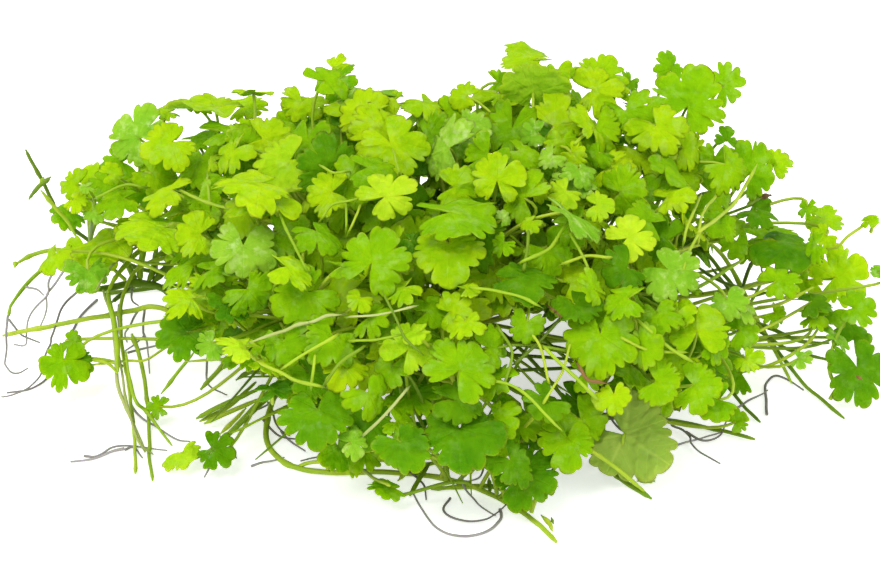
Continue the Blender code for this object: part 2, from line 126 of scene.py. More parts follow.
# How shown stems swell at their nodes and thin to their ends, and how many points a way has for each knot
NODE_SPACING = 13.0
NODE_LENGTH = 0.7
NODE_SWELLING = 0.3
NODE_CHANCE_STEP = 0.37
STEM_END_SHARE = 0.55
CREEPING_END_SHARE = 0.75
CREEPING_LIFT = 0.05
ROUTE_DETAIL = 7
ROOT_ROUTE_DETAIL = 5
POINTED_OVER = 0.22
STALK_TIP_SHARE = 0.72

# Blades: columns round the rim and rings from the heart out
LEAF_DETAIL = (60, 5)
LARGE_LEAF_DETAIL = (120, 7)
SHADED_DETAIL = (40, 3)
STALK_SIDES = {True: 6, False: 5}

# Rods: how many sides they have and how far they waver, in metres
CREEPING_ROD = (10, 0.0007)
THIN_ROD = (7, 0.0004)
THREAD_ROD = (5, 0.0011)

# Thread roots: radius where they start and where they end
MAIN_ROOT_RADII = (0.27, 0.16)
THREAD_RADII = (0.24, 0.13)

# Rims of the shown blades: notches between teeth, ripples round the leaf, and how fast a blade thins outwards
LEAST_NOTCH = 0.35
NOTCH_SPREAD = 1.3
BROAD_RIPPLES = 3
FINE_RIPPLES = 7
FINE_RIPPLE_SHARE = 0.45
THINNING = 3
ROUNDING = 0.0001

# Factors that make one draw by lot differ from the next
SKEW_DRAW = 19
CUT_DRAWS = (2.3, 47)
LENGTH_DRAWS = (1.7, 31)
NOTCH_DRAWS = (9.1, 77)
RIPPLE_DRAWS = (6.3, 9.1)
LEAF_DRAWS = (12.9898, 78.233, 43758.5453)
TINT_DRAW = 7.3
GAP_DRAW = 3.7
STRETCH_DRAW = 5.9

# How wide an extra leaf's back gap gets, in degrees, by its lobes, and how far the leaf is stretched
WIDEST_GAP = {3: 140}
USUAL_WIDEST_GAP = 85
STRETCH_SPAN = (0.88, 0.26)

# How far thin stems and roots may go past the solids' box, or stay within it
SIDE_SLACK = np.array((0.8, 0.4, -0.6))

# Finishes: sheen, water on the blades, painted shade at the rims, painted sheen in patches, veins, noise,
# bumps, and light that passes through.
# Noise scales are per metre. The distance of a bump and the last number of a glow are in metres.
SHEEN = 0.02
WET_COAT = {"waxy": 0.2, "dark": 0.12}
OTHER_COAT = 0.06
COAT_ROUGHNESS = 0.16
WET_POLISH = -0.2
DRY_ROUGHNESS = 0.1
STEM_SHEEN = 0.2
# Painted shade: the blades' colour darkens towards their rims
RIM_NARROWNESS = 6
RIM_SHADE = 0.08
# A painted sheen: pale patches mixed into a blade's green where it is wet, as a share for each tone,
# strongest on the glossy leaves
PAINTED_SHEEN = (0.40, 0.59, 0.13)
PAINTED_SHEEN_SHARES = {"waxy": 0.72, "dark": 0.08, "young": 0.12}
OTHER_PAINTED_SHEEN = 0.2
VEIN_WIDTHS = {"old": 0.09}
USUAL_VEIN_WIDTH = 0.05
VEIN_SHARES = {"old": 0.6}
USUAL_VEIN_SHARE = 0.14
VEIN_LIGHTNESS = 1.25
VEIN_TAPER = 1.25
VEIN_SINKING = 0.05
QUILT_HEIGHT = 0.6
BROAD_HEIGHT = 1.2
QUILT_SHARE = 0.4
BROAD_SHARE = 0.6
MOTTLE_SHARE = 0.6
TINT_SHARE = 0.6
BLADE_DEPTH = 0.05
STREAK_SHARE = 0.5
ROD_TINT_SHARE = 0.7
ROD_DEPTH = 0.1
BRANCH_VEINS = 5
BRANCH_SLANT = 3.6
BRANCH_NARROWNESS = 9
BRANCH_START = 20
BRANCH_SHARE = 0.4
MOTTLE_SPAN = (0.36, 0.64)
WET_SPAN = (0.52, 0.64)
STREAK_SPAN = (0.35, 0.65)
BROAD_NOISE = {"Scale": 190.0, "Detail": 2.0}
QUILT_NOISE = {"Scale": 620.0, "Detail": 1.0}
FILM_NOISE = {"Scale": 430.0, "Detail": 4.0, "Roughness": 0.65}
STREAK_NOISE = {"Scale": 140.0, "Detail": 3.0}
BLADE_BUMP = {"Strength": 0.9, "Distance": 0.0014}
ROD_BUMP = {"Strength": 0.3, "Distance": 0.0002}
BLADE_GLOW = (0.3, (0.5, 1.0, 0.1), 0.0016)
ROD_GLOW = (0.2, (0.6, 1.0, 0.2), 0.0008)

# What the finished pieces don't need of the attributes that shape them
WORKING_ATTRIBUTES = (
    "around", "heart", "side", "tip", "face", "lobes", "cut", "droop", "radius", "teeth", "seed", "gap",
    "stretch")

# Lights: name, place and width in metres, and power as a share of the key light's. Then the floor.
LIGHTS = (("key", (-0.35, -0.55, 0.95), 0.5, 1.0), ("fill", (0.8, -0.3, 0.6), 0.6, 0.25))
FLOOR_WHITE = (0.92, 0.92, 0.92, 1)
FLOOR_ROUGHNESS = 0.9
FLOOR_SHEEN = 0.1
WHITE = (1, 1, 1, 1)
NEAREST_SEEN = 0.01

# Creeping stems: points along each, from its free end inwards. A height of 0 lies on the surface.
STEMS = {
    "stem_left_long": [
        (-72, 13.3, 3), (-62, 13, 3), (-52, 11, 5), (-40, 8, 8), (-24, 4, 10), (-6, 4, 8), (12, 8, 5),
        (30, 12, 2.5)],
    "stem_left_fall": [
        (-49, -29, 0), (-50.2, -18, 1.6), (-52.3, -4, 3.5), (-54.5, 8, 8), (-53, 17, 13), (-44, 20, 15),
        (-30, 20, 13), (-14, 17, 10)],
    "stem_left_branch": [
        (-46.2, -31, 0), (-47.6, -20, 0.6), (-48.6, -9, 2.4), (-50.6, 0, 5.6), (-52.2, 3.8, 8.4)],
    "stem_left_stalk": [
        (-69, 30, 29), (-66, 28, 22.5), (-61, 25, 15), (-53, 25, 10), (-44, 26, 8), (-34, 30, 6),
        (-22, 34, 3), (-8, 34, 0), (6, 34, 0)],
    "stem_front": [
        (18, -49, 0), (15, -43.5, 0), (10, -37, 0), (2, -31, 0), (-8, -28.5, 0), (-18, -28.5, 0),
        (-25, -25.5, 0), (-28.5, -18, 1.2), (-28, -10, 2.5), (-25, -2, 4.5), (-18, 6, 5)],
    "stem_front_right": [(33.5, -36.5, 0), (28, -29, 0.4), (22, -20, 2.5), (13, -10, 5), (2, -3, 6)],
    "stem_right_long": [
        (67, -11.5, 0), (60, 1, 2.5), (55, 10, 6), (49, 16, 13), (43, 18, 18), (34, 17, 17), (22, 10, 14),
        (8, 2, 13), (-6, -7, 11), (-16, -11, 8)],
    "stem_right_fall": [(53, -12.4, 0), (48.5, -2, 1.6), (44, 6, 3.5), (38, 12, 6), (30, 18, 8), (21, 22, 6)],
    "stem_right_low": [
        (51.7, -18, 0), (42, -13, 0), (32, -11, 0.4), (20, -13, 0.6), (8, -17, 0), (-6, -19, 0),
        (-17, -17, 0)],
    "stem_right_arm": [(24, 26, 2), (34, 24, 4), (42, 22, 5.5), (54, 20, 9), (62, 18.5, 12.5), (68, 17, 14)],
    "stem_back": [
        (-60, 33, 0), (-46, 36, 0), (-30, 38, 3), (-15, 40, 5), (0, 40, 5), (15, 38, 3), (30, 35, 0),
        (44, 31, 0)],
    "stem_arch": [
        (-40, -6, 3), (-33, -4, 10), (-22, -3, 17), (-8, -2, 21), (8, 0, 21), (22, 3, 18), (33, 4, 12)],
}

# Roots: each grows from a stem and lies on the surface
ROOTS = {
    "root_left": [(-61.2, 31, 0), (-63.6, 24, 0), (-65, 14, 0), (-66.5, 4, 0), (-69, -1, 0), (-73, -2.5, 0)],
    "root_left_low": [(-51.6, -20.6, 0), (-53.5, -21.6, 0), (-56.5, -23.8, 0), (-60, -24.6, 0)],
    "root_front": [
        (9.4, -39.2, 0), (9.6, -42, 0), (7.5, -45.6, 0), (3.7, -47, 0), (0, -45.4, 0), (-2.6, -40, 0),
        (-4.2, -34.5, 0)],
    "root_right": [
        (54.4, -9.6, 0), (54.9, -2.3, 0), (55.3, 0.6, 0), (57, 3.4, 0), (59.3, 2, 0), (61.5, -1.3, 0)],
}


def rows_of(table):
    """The rows of a table that is text with a row on each line, each row as its words."""
    return [line.split() for line in table.strip().splitlines()]


def number(word):
    """The number that a word holds: whole where it has no point, and none at all for a dash."""
    if word == "-":
        return None
    return float(word) if "." in word else int(word)


def points_of(words):
    """The points that words hold, each as numbers with commas between."""
    return [tuple(map(number, word.split(","))) for word in words]


def level_of(word):
    """A level over the dome, or two heights over the surface, written with a colon between."""
    return tuple(map(number, word.split(":"))) if ":" in word else number(word)


Leaf = namedtuple("Leaf", "name bearing across up height width tip turn nod lobes cut droop tone")


def leaves_of(first, table):
    """The leaves of a table, named by their numbers from the first on."""
    rows = enumerate(rows_of(table), first)
    return [Leaf(f"leaf_{place:02d}", *map(number, measures), tone) for place, (*measures, tone) in rows]


# Leaves. bearing is where the row is looked at from, 0 for the front and 180 for behind. across and up are
# where the leaf's heart is seen from there, and height is its height over the surface, or a dash on the dome.
# tip is the clock hour that its middle lobe points to. turn and nod say how far it faces right and up, and
# past 90 it faces away. cut is how deep its lobes are parted and droop how far its rim hangs.
# Columns: bearing, across, up, height, width, tip, turn, nod, lobes, cut, droop, tone
LEAVES = leaves_of(1, """
0 15 39 53 10.5 10 10 70 5 0.4 0.2 light
0 -19.2 35.5 50 8.5 2 25 35 4 0.5 0.2 mid
0 41.3 31.3 44 15.5 1 8 12 5 0.5 0.12 mid
0 -37.5 31 42 15.7 9 0 98 5 0.15 0.35 light
0 15.5 33.5 47 12.7 12 0 150 5 0.4 0.15 mid
0 -50.3 26 36 10.5 10 -10 10 5 0.5 0.15 waxy
0 -15.8 31.5 46 12.7 3 0 72 5 0.15 0.3 light
0 -22.5 29 - 13.3 7 -15 25 5 0.15 0.25 light
0 4.2 27.5 - 10.3 5 0 15 5 0.3 0.2 waxy
0 51.7 20.3 32 10.7 1 15 5 5 0.4 0.1 mid
0 -57.5 17.3 24 11 11 -20 15 5 0.3 0.15 light
0 -25 22.3 - 12 8 -10 20 5 0.12 0.2 young
0 9.5 19 - 10.5 12 0 5 5 0.45 0.1 light
0 -28.3 16.5 - 16.5 9 0 66 5 0.12 0.25 light
0 -46.7 11 - 16.5 9 10 66 5 0.15 0.2 light
0 -9.2 16.2 - 10.3 2 0 20 5 0.55 0.1 young
0 2 13.5 - 16.5 3 0 60 5 0.12 0.25 mid
0 -58.7 6.3 17 8.8 6 -10 0 5 0.5 0.1 light
0 31.2 9.3 - 9.5 2 0 20 4 0.58 0.1 young
0 57 8.7 23 15.5 3 10 80 5 0.2 0.35 dark
0 63.8 12.5 22 9 4 0 45 3 0.5 0.1 light
0 -32.8 8 - 12 6 0 15 5 0.35 0.15 waxy
0 65.8 2.8 14 12.5 2 0 20 5 0.5 0.12 light
0 1.3 8 - 13 6 0 35 5 0.2 0.2 light
0 -11.3 5.3 - 12.3 1 0 5 5 0.45 0.1 mid
0 69.5 -12.3 7 13 5 0 15 5 0.35 0.12 dark
0 26.7 -6.8 - 13.3 6 0 20 5 0.2 0.2 mid
0 42.8 -6.3 - 13 12 0 25 4 0.55 0.12 light
0 -42.2 -6.5 - 11 8 0 15 5 0.4 0.12 dark
0 -62.7 -11 8 9 7 0 10 5 0.55 0.1 mid
0 -37.8 -26 5 7.8 4 0 20 5 0.55 0.1 dark
0 -5.3 -9.3 - 9.7 1 0 20 5 0.5 0.1 young
0 -20.5 -19.3 - 12.3 6 0 25 5 0.2 0.15 dark
0 3.3 -12.7 - 12 1 0 20 5 0.4 0.12 mid
0 -17 -25.5 10 9.5 6 55 15 5 0.15 0.2 mid
0 3.3 -22.5 - 14 6 0 35 5 0.2 0.15 dark
0 13.7 -29.8 8 12.7 4 0 30 5 0.35 0.15 dark
0 21.2 -24 11 11 6 0 20 5 0.5 0.1 mid
0 30.8 -23.5 8.5 17.5 4 0 190 5 0.15 0.08 old
180 -30 16 - 13 6 0 30 5 0.3 0.2 mid
180 2 14 - 14 7 0 35 5 0.2 0.2 light
180 34 12 - 12.5 5 0 30 5 0.35 0.15 light
180 -16 -6 - 12.5 6 0 25 5 0.4 0.15 mid
180 20 -8 - 12 1 0 20 5 0.45 0.12 mid
""")

# Leaves that spring from the stalk of another leaf, a little over its foot, in the same columns
SIDE_LEAVES = leaves_of(len(LEAVES) + 1, """
0 26.5 36.3 49 11 1 10 35 5 0.45 0.15 light
0 39.7 21.8 - 13.5 1 0 15 5 0.35 0.15 young
0 -35.5 27 - 12.8 3 0 60 5 0.2 0.2 mid
0 -8.3 25.2 - 12.3 5 0 20 5 0.35 0.15 light
0 -44.7 25.3 - 10.5 8 0 30 5 0.25 0.15 light
0 38 4 - 10 4 0 15 5 0.25 0.15 waxy
0 -22.2 0.2 - 12.7 8 0 20 5 0.3 0.15 mid
0 13 2.7 - 11 3 0 55 5 0.2 0.2 dark
0 -6.5 -24.8 - 9.7 5 0 30 5 0.1 0.15 dark
0 69 -2.3 - 8 3 0 30 5 0.35 0.12 mid
""")

# Finishes of the blades: deeper green, brighter green, underside, and how rough
LEAF_TONES = {
    "young": ((0.25, 0.49, 0.003), (0.46, 0.68, 0.018), (0.42, 0.60, 0.04), 0.50),
    "light": ((0.21, 0.43, 0.002), (0.38, 0.59, 0.004), (0.34, 0.52, 0.03), 0.50),
    "mid": ((0.135, 0.325, 0.002), (0.255, 0.48, 0.002), (0.27, 0.44, 0.02), 0.50),
    "dark": ((0.05, 0.17, 0.002), (0.125, 0.29, 0.002), (0.16, 0.29, 0.015), 0.48),
    # Leaves with a glossier coat, on which the painted sheen is strongest
    "waxy": ((0.16, 0.38, 0.012), (0.28, 0.51, 0.03), (0.34, 0.53, 0.09), 0.42),
    "old": ((0.19, 0.30, 0.022), (0.32, 0.43, 0.07), (0.25, 0.37, 0.05), 0.55),
}
STEM_TONES = {
    "green": ((0.22, 0.40, 0.010), (0.40, 0.55, 0.025), (0.16, 0.28, 0.010), 0.45),
    "deep": ((0.14, 0.27, 0.008), (0.28, 0.42, 0.020), (0.09, 0.15, 0.008), 0.48),
    "stem": ((0.24, 0.40, 0.012), (0.46, 0.58, 0.040), (0.13, 0.24, 0.008), 0.45),
    "light": ((0.26, 0.42, 0.012), (0.45, 0.56, 0.035), (0.24, 0.40, 0.012), 0.42),
    "dark": ((0.11, 0.20, 0.008), (0.22, 0.35, 0.015), (0.08, 0.12, 0.010), 0.50),
    "pale": ((0.30, 0.38, 0.07), (0.52, 0.55, 0.22), (0.33, 0.33, 0.14), 0.50),
    "brown": ((0.18, 0.10, 0.028), (0.28, 0.15, 0.05), (0.12, 0.07, 0.03), 0.60),
}
ROOT_TONE = ((0.19, 0.175, 0.18), (0.42, 0.39, 0.39), (0.22, 0.19, 0.17), 0.65)
LEAN_TONES = ("young", "light", "mid", "dark", "waxy", "old")

# Leaves seen between the solid ones: across, up, width, tone, and what else is plain to see of them. A layer
# is how far over the dome a leaf lies, and a bare one shows no more than the tip of its stalk.
FRONT_LEAVES = rows_of("""
-14 29 12 dark nod=65 layer=-3 tip=5
-8 32 5.5 light nod=30
-3.2 30.3 8 waxy height=47 layer=1
2.5 32 5.2 light
7 31 6 light
29 33.5 6 mid lobes=3 tip=12 height=46
22 31 9 mid layer=-3
33 30 6.3 dark turn=60
47.8 25.6 5.4 dark tip=12 lobes=3 nod=8 cut=0.6
40.7 27.5 4.2 light tip=12
33.7 25.7 8 mid
45.8 22.8 8 mid
-37.8 22 3.7 young
-55 20 5.2 light
-60.8 15.7 5 light
-58.8 17.8 3 waxy
-60 15.7 3 light
-58 13.7 4.5 waxy
-52.8 15.8 9.8 mid
-46 16 5 young lobes=3
-64.2 6.6 9 light turn=-48 tip=6
-61.7 -7.8 4.6 mid height=9
-59.8 -10.8 4.6 dark height=8
-46.8 -18.8 4.7 mid height=4
-42.9 -26.4 7.8 young lobes=3 height=3 tip=5
-43 -5 12 light layer=-2
-38 -8.2 5.7 waxy
13.2 23.7 9 mid layer=-3
16.2 26.7 6 waxy
18.7 23 5.5 waxy
20.3 25.8 6 light
22 23.5 5.5 light
26.5 23.5 5.3 mid
23.2 20.7 7 waxy
21 17.2 6.5 young
26.2 14.8 6.3 young
21 13.7 12.5 waxy turn=68 tip=5
2.3 17.8 9 light
-30 18.5 15 light nod=66 layer=1 cut=0.12 tip=8
-20.5 10.3 9.3 mid nod=50
-22.3 9.7 3 waxy
-25.5 4.5 9.5 light nod=50
-16.2 4.5 7 mid
-13.3 -0.7 5.3 light
-32 0.8 9 mid
-35.3 -1.5 8 dark
-24 -3.8 10 mid
-4.8 8.7 6 dark
10.5 12.5 3.5 waxy
10.7 8.5 5 mid
15.2 12 4.5 light
4.5 0.8 4.2 light
31.2 4.3 8.8 dark layer=-1
31.2 -0.8 9 mid
22.5 -1.8 9 dark
25.7 0.8 7 mid turn=50
28.8 -3.3 8 mid
1.8 -3 7 light
4.2 -4.7 7 light
14.5 -4.7 7.3 mid lobes=3
52.8 13.7 9 dark nod=60
62.7 8.3 6.2 mid
71.5 12.3 3.7 light bare=1
73 3.7 3 waxy
62 -1.3 8 dark
62.2 -3.8 6 light
39.7 -3 6.3 light
50 -2 8 waxy nod=60
47.8 -1 7 waxy
66 -7 6.7 waxy turn=55
59.8 -10.8 5 waxy
51 -10.8 6 light
45.3 -8.5 7 mid
42.2 -15.2 9.4 mid nod=12 cut=0.14
46.5 -17.7 8 mid nod=14 cut=0.14
36 -14.6 9.2 mid nod=8 cut=0.12
33.7 -8.8 8 mid
29 -16.8 6.5 light nod=10 cut=0.2
11.7 -27.7 9 dark
15.8 -30.4 8 dark height=5
9.3 -21 8 mid
2.8 -17.8 9 dark
-3.7 -6.5 6 young
-12 -16.5 9 mid lobes=3
-14.8 -24.8 6 waxy
-14.3 -29 4 young height=4
-8.3 -32.3 6.7 mid height=4
-32.7 -8.8 9 young nod=55
-29.3 -11.2 7 light nod=55
-26 -8 10 mid layer=-2
-18 -7 10 mid layer=-1
-22 -13 9 mid layer=-1
-12 -4 8 mid layer=-1
-8 -12 8 mid layer=-1
-16 -12 8 light
8 -9 8 mid layer=-1
10 -14 8 mid layer=-1
-2 -3 8 mid layer=-1
-40 16 9 mid layer=-2
-33 24 10 mid layer=-2
-28 27 9 light layer=-2
35 12 10 mid layer=-1
30 17 10 mid layer=-2
38 16 9 light layer=-1
46 12 9 mid layer=-2
28 21 9 light layer=-2
8 23 10 mid layer=-2
-12 21 10 mid layer=-2
-38 4 10 mid layer=-2
-40 10 9 light layer=-1
36 -3 9 mid layer=-2
38 9 8 dark layer=-2
-28 -16 8 dark layer=-2
-12 -21 9 dark layer=-2
24 -13 8 mid layer=-2
18 -18 8 dark layer=-2
40 -11 8 light layer=-1
56 2 8 mid layer=-3
50 -6 8 mid layer=-2
-6 1 8 light layer=-1
18 7 9 mid layer=-2
23 11.5 10 mid layer=-3
-18 17 9 light layer=-1
-48 20 9 light layer=-2
-45 21.5 11 light height=33
-35 24.5 11 mid height=37
-29.5 25.8 11 light height=41
-47.5 18 10 mid height=28
-43 20 10 dark height=28
-39.5 17.5 11 mid height=31
-52 17.5 9 light height=25
-36 19.5 10 mid layer=-2
-50 12 13 light height=26 nod=64
-41.5 14 14 mid height=29 nod=60
-23 32 9 light height=44 nod=20
-18 35 9 mid height=46 nod=25 tip=1.5 cut=0.5
-12.5 30 11.5 light height=45 nod=20
-7.5 29.6 10 light height=45 nod=25
0 29.6 12 light height=46 nod=18
5 29.4 11 mid height=45 nod=12
10 30 10 light height=46 nod=15
20 32.5 10 mid height=47 nod=20
25.5 34 10.5 light height=47 nod=20
31 30.5 12 mid height=46 nod=15
36 28 11 light height=43 nod=15
40.5 24.4 9.5 light height=40 nod=15
47.5 21.5 10.5 mid height=36 nod=20
-39.5 23 12 mid height=36
-31 25 12 light height=40
-16 26.5 12 mid height=43 nod=15
-9 27 12 light height=44 nod=15
-2 26 11 mid height=45 nod=10
1.5 24.3 12 waxy layer=-5 nod=10
12 27.5 12 mid height=45 nod=15
19 28 12 light height=45 nod=15
26 28 11 mid height=44 nod=10
33 24 12 light height=41 nod=15
39 20.5 12 mid height=38 nod=15
45 17 11 mid height=33 nod=15
-22 26 11 mid layer=-2 nod=15
-53 22 9 mid height=31 nod=20
-15 19 11 mid layer=-3 nod=10
-5 19.6 12.5 dark layer=-3 nod=10
14 16 11 mid layer=-3 nod=10
-27 10 11 mid layer=-3 nod=10
6 10 11 dark layer=-4 nod=10
-24 22.8 12 mid layer=-4
-18.3 20.7 12 dark layer=-4
7.5 16 12 dark layer=-5
17.5 18.2 12 dark layer=-5
25.5 27 11 mid height=40
35 15.3 13 mid layer=-4
-41 25.8 10 mid height=36 nod=55
32 18 12 mid layer=-5
47.3 34.7 8.5 mid height=43 nod=8 tip=2 cut=0.35
38.3 37.4 7 mid height=45 nod=8 tip=11.5 lobes=3
53 9.6 13.5 mid height=22 nod=54 tip=3 cut=0.1 droop=0.35
69 -7.5 8 dark height=9 tip=1
50.2 -13.2 8 mid height=5 nod=10
65.5 -3 7.5 mid height=12
55.5 21.5 7.5 light height=31 tip=2 lobes=3
52.3 15 7.5 dark height=26 tip=3 lobes=3 turn=30
-54.7 9 15 light height=21 nod=62 tip=8.5 cut=0.1 droop=0.3 turn=-10
-12.5 -26.3 7.5 mid height=7
-7.2 -21.3 9 mid layer=-1
-60.5 18.2 7 light height=27 nod=10 cut=0.2
-55.5 18.5 8 mid height=29 nod=10
-32.8 31.3 7.5 light height=42 nod=35 cut=0.1 tip=3
-41 32 9 light height=43 nod=72 cut=0.08
14.2 40.6 9 light height=50.5 nod=58 tip=1 cut=0.1
-61.8 13.6 8 mid height=22
55.7 -3.2 5.5 mid height=12
49.3 8.7 7 mid height=24 nod=40
61.3 2.4 6 light height=15
49.3 -21.3 5 mid height=4
-12.5 31.6 7 light height=45 nod=55
9.7 35.3 6 mid height=48
-17.8 37.6 6 light height=47
-31 27 10 light height=40 nod=40
-58.7 4 8.8 waxy height=18 nod=0 tip=6 cut=0.28
-41.5 -0.8 10 light nod=48
-37.5 0.8 9 light nod=30
4.3 33 6.5 light height=47 nod=20
-2.8 32 9 light height=46 nod=55
19.5 37 7 light height=49 nod=30
14.8 -24 6 dark height=9
50.5 11 6 mid height=25
-45.5 30.3 6.5 light height=40 nod=62
64.3 9.7 5.5 light height=22
61.3 14.6 4.5 mid height=26
31.7 35.5 5 mid height=47
""")

# Layers of leaves drawn by lot: how deep they lie as a share of the dome, how wide they are, between which
# azimuths they grow, and from which share of the dome's height; and their tones low down and high up
LEAF_LAYERS = {
    "back": ((0.98, 1.02), (7.0, 14.0), -35, 215, 0.06),
    "canopy": ((0.78, 0.95), (10.0, 15.0), 0, 360, 0.30),
    "inner": ((0.55, 0.80), (7.0, 11.0), 0, 360, 0.12),
}
# Painted light and shade: low down and in the inner layer the tones lean darker, high up lighter; a tone is
# drawn by lot from its list
LAYER_TONES = {
    "back": (("dark", "mid", "mid"), ("mid", "light", "light", "waxy", "young")),
    "canopy": (("dark", "mid", "mid"), ("mid", "mid", "light")),
    "inner": (("dark", "dark", "mid"), ("dark", "mid")),
}
# Over this share of the dome's height a drawn leaf takes the lighter tones, as painted light
LIGHT_FROM = 0.45
HIGHEST_SHARE = 0.97
LOWEST_HEART = 3
USUAL_LOBES = 5
USUAL_LOBES_CHANCE = 0.85

# What is drawn by lot for a leaf of the front table where it leaves that open, and for a leaf on the dome
DRAWN_IN_FRONT = {
    "tip": (2, 10), "turn": (-38, 38), "nod": (-5, 58), "cut": (0.12, 0.42), "droop": (0.12, 0.38)}
DRAWN_ON_DOME = {
    "tip": (2, 10), "turn": (-35, 35), "nod": (5, 58), "cut": (0.12, 0.42), "droop": (0.14, 0.36)}

# Thin stems inside: at which shares of the dome and heights they start and end, and how they veer and bow
INNER_START = ((0.35, 0.86), (1, 12))
INNER_END = ((0.1, 0.6), (3, 24))
INNER_VEER = 1.1
INNER_BOW = 6
INNER_RISE = 3
INNER_DARK_CHANCE = 0.5
INNER_RADII = (0.26, 0.42)
INNER_TIP_SHARE = 0.6
INNER_POINTS = 20
INNER_FLOOR = 0.6

# Roots that wander: where they may start, how they veer, bend and stray, and how they sink to the surface
ROOT_START_UNDER = 6
ROOT_START_WITHIN = 44
ROOT_START_BEHIND = -22
ROOT_VEER = 1.3
ROOT_BEND = 0.25
ROOT_STEPS = (5, 11)
ROOT_STRAY = 0.28
ROOT_STEP = 1.6
ROOT_SINKING = 0.55
ROOT_FLOOR = 0.45

# Where the clump lets the light through, in picture pixels: middle, half width and half height; and the
# lowest row at which a leaf is drawn by lot
WINDOWS = [
    (128, 300, 75, 62), (120, 420, 130, 70), (765, 285, 85, 62), (790, 400, 110, 62), (535, 352, 78, 58),
    (345, 385, 50, 30), (30, 250, 60, 110), (860, 240, 70, 60), (208, 378, 48, 56), (246, 430, 44, 32)]
LOWEST_DRAWN = 430

# How strands dive under the leaves at both ends, and how thick they are there; and the picture's scale
DIVE_PIXELS = 9
DIVE_LEVEL = -5
STRAND_FLOOR = 0.5
STRAND_SHARE = 0.82
LAID_TIP_SHARE = 0.75
DIVING_TIP_SHARE = 0.35
PICTURE_CENTRE = (440, 294)
PIXELS_A_MM = 6.0

# How the solid pieces are shown: the deep green stems, how thick stems are as a share of their solids,
# free ends whose first points lie where the picture has them, stalks that take another way, and leaves
# that are turned otherwise
DARK_STEMS = {
    "stem_right_fall", "stem_right_long", "stem_right_low", "stem_left_stalk", "stem_front_right",
    "stem_back"}
STEM_SHARES = {
    "stem_left_fall": 0.58, "stem_left_branch": 0.58, "stem_right_fall": 0.6, "stem_left_stalk": 0.65,
    "stem_right_long": 0.62, "stem_right_low": 0.66}
USUAL_STEM_SHARE = 0.8
SEEN_TIPS = {
    "stem_left_stalk": (4, (31, 15), [(26, 150), (34, 165), (43, 181), (50, 196), (58, 213), (67, 238)]),
    "stem_left_long": (
        5, (4, 11),
        [(2, 336), (26, 331), (52, 326), (78, 321), (103, 316), (125, 312), (150, 308), (176, 304)]),
}
REROUTED = {"leaf_06", "leaf_27", "leaf_28", "leaf_29", "leaf_31", "leaf_50"}
CUT_SHARE = 0.75
SHOWN_AS = {
    "leaf_01": {"nod": 56, "cut": 0.12}, "leaf_03": {"cut": 0.42},
    "leaf_04": {"nod": 76, "cut": 0.06, "droop": -0.08}, "leaf_05": {"cut": 0.1}, "leaf_06": {"width": 12},
    "leaf_13": {"cut": 0.4}, "leaf_16": {"cut": 0.5}, "leaf_18": {"width": 10}, "leaf_19": {"cut": 0.5},
    "leaf_20": {"nod": 64, "cut": 0.1},
    "leaf_26": {"tip": 5.5, "turn": 18, "nod": 8, "width": 12.2}, "leaf_29": {"nod": 45, "cut": 0.15},
    "leaf_30": {"width": 9.6, "tip": 6.3}, "leaf_39": {"tip": 4.2, "cut": 0.14},
    "leaf_42": {"nod": 34, "droop": 0.05, "width": 8.5},
}
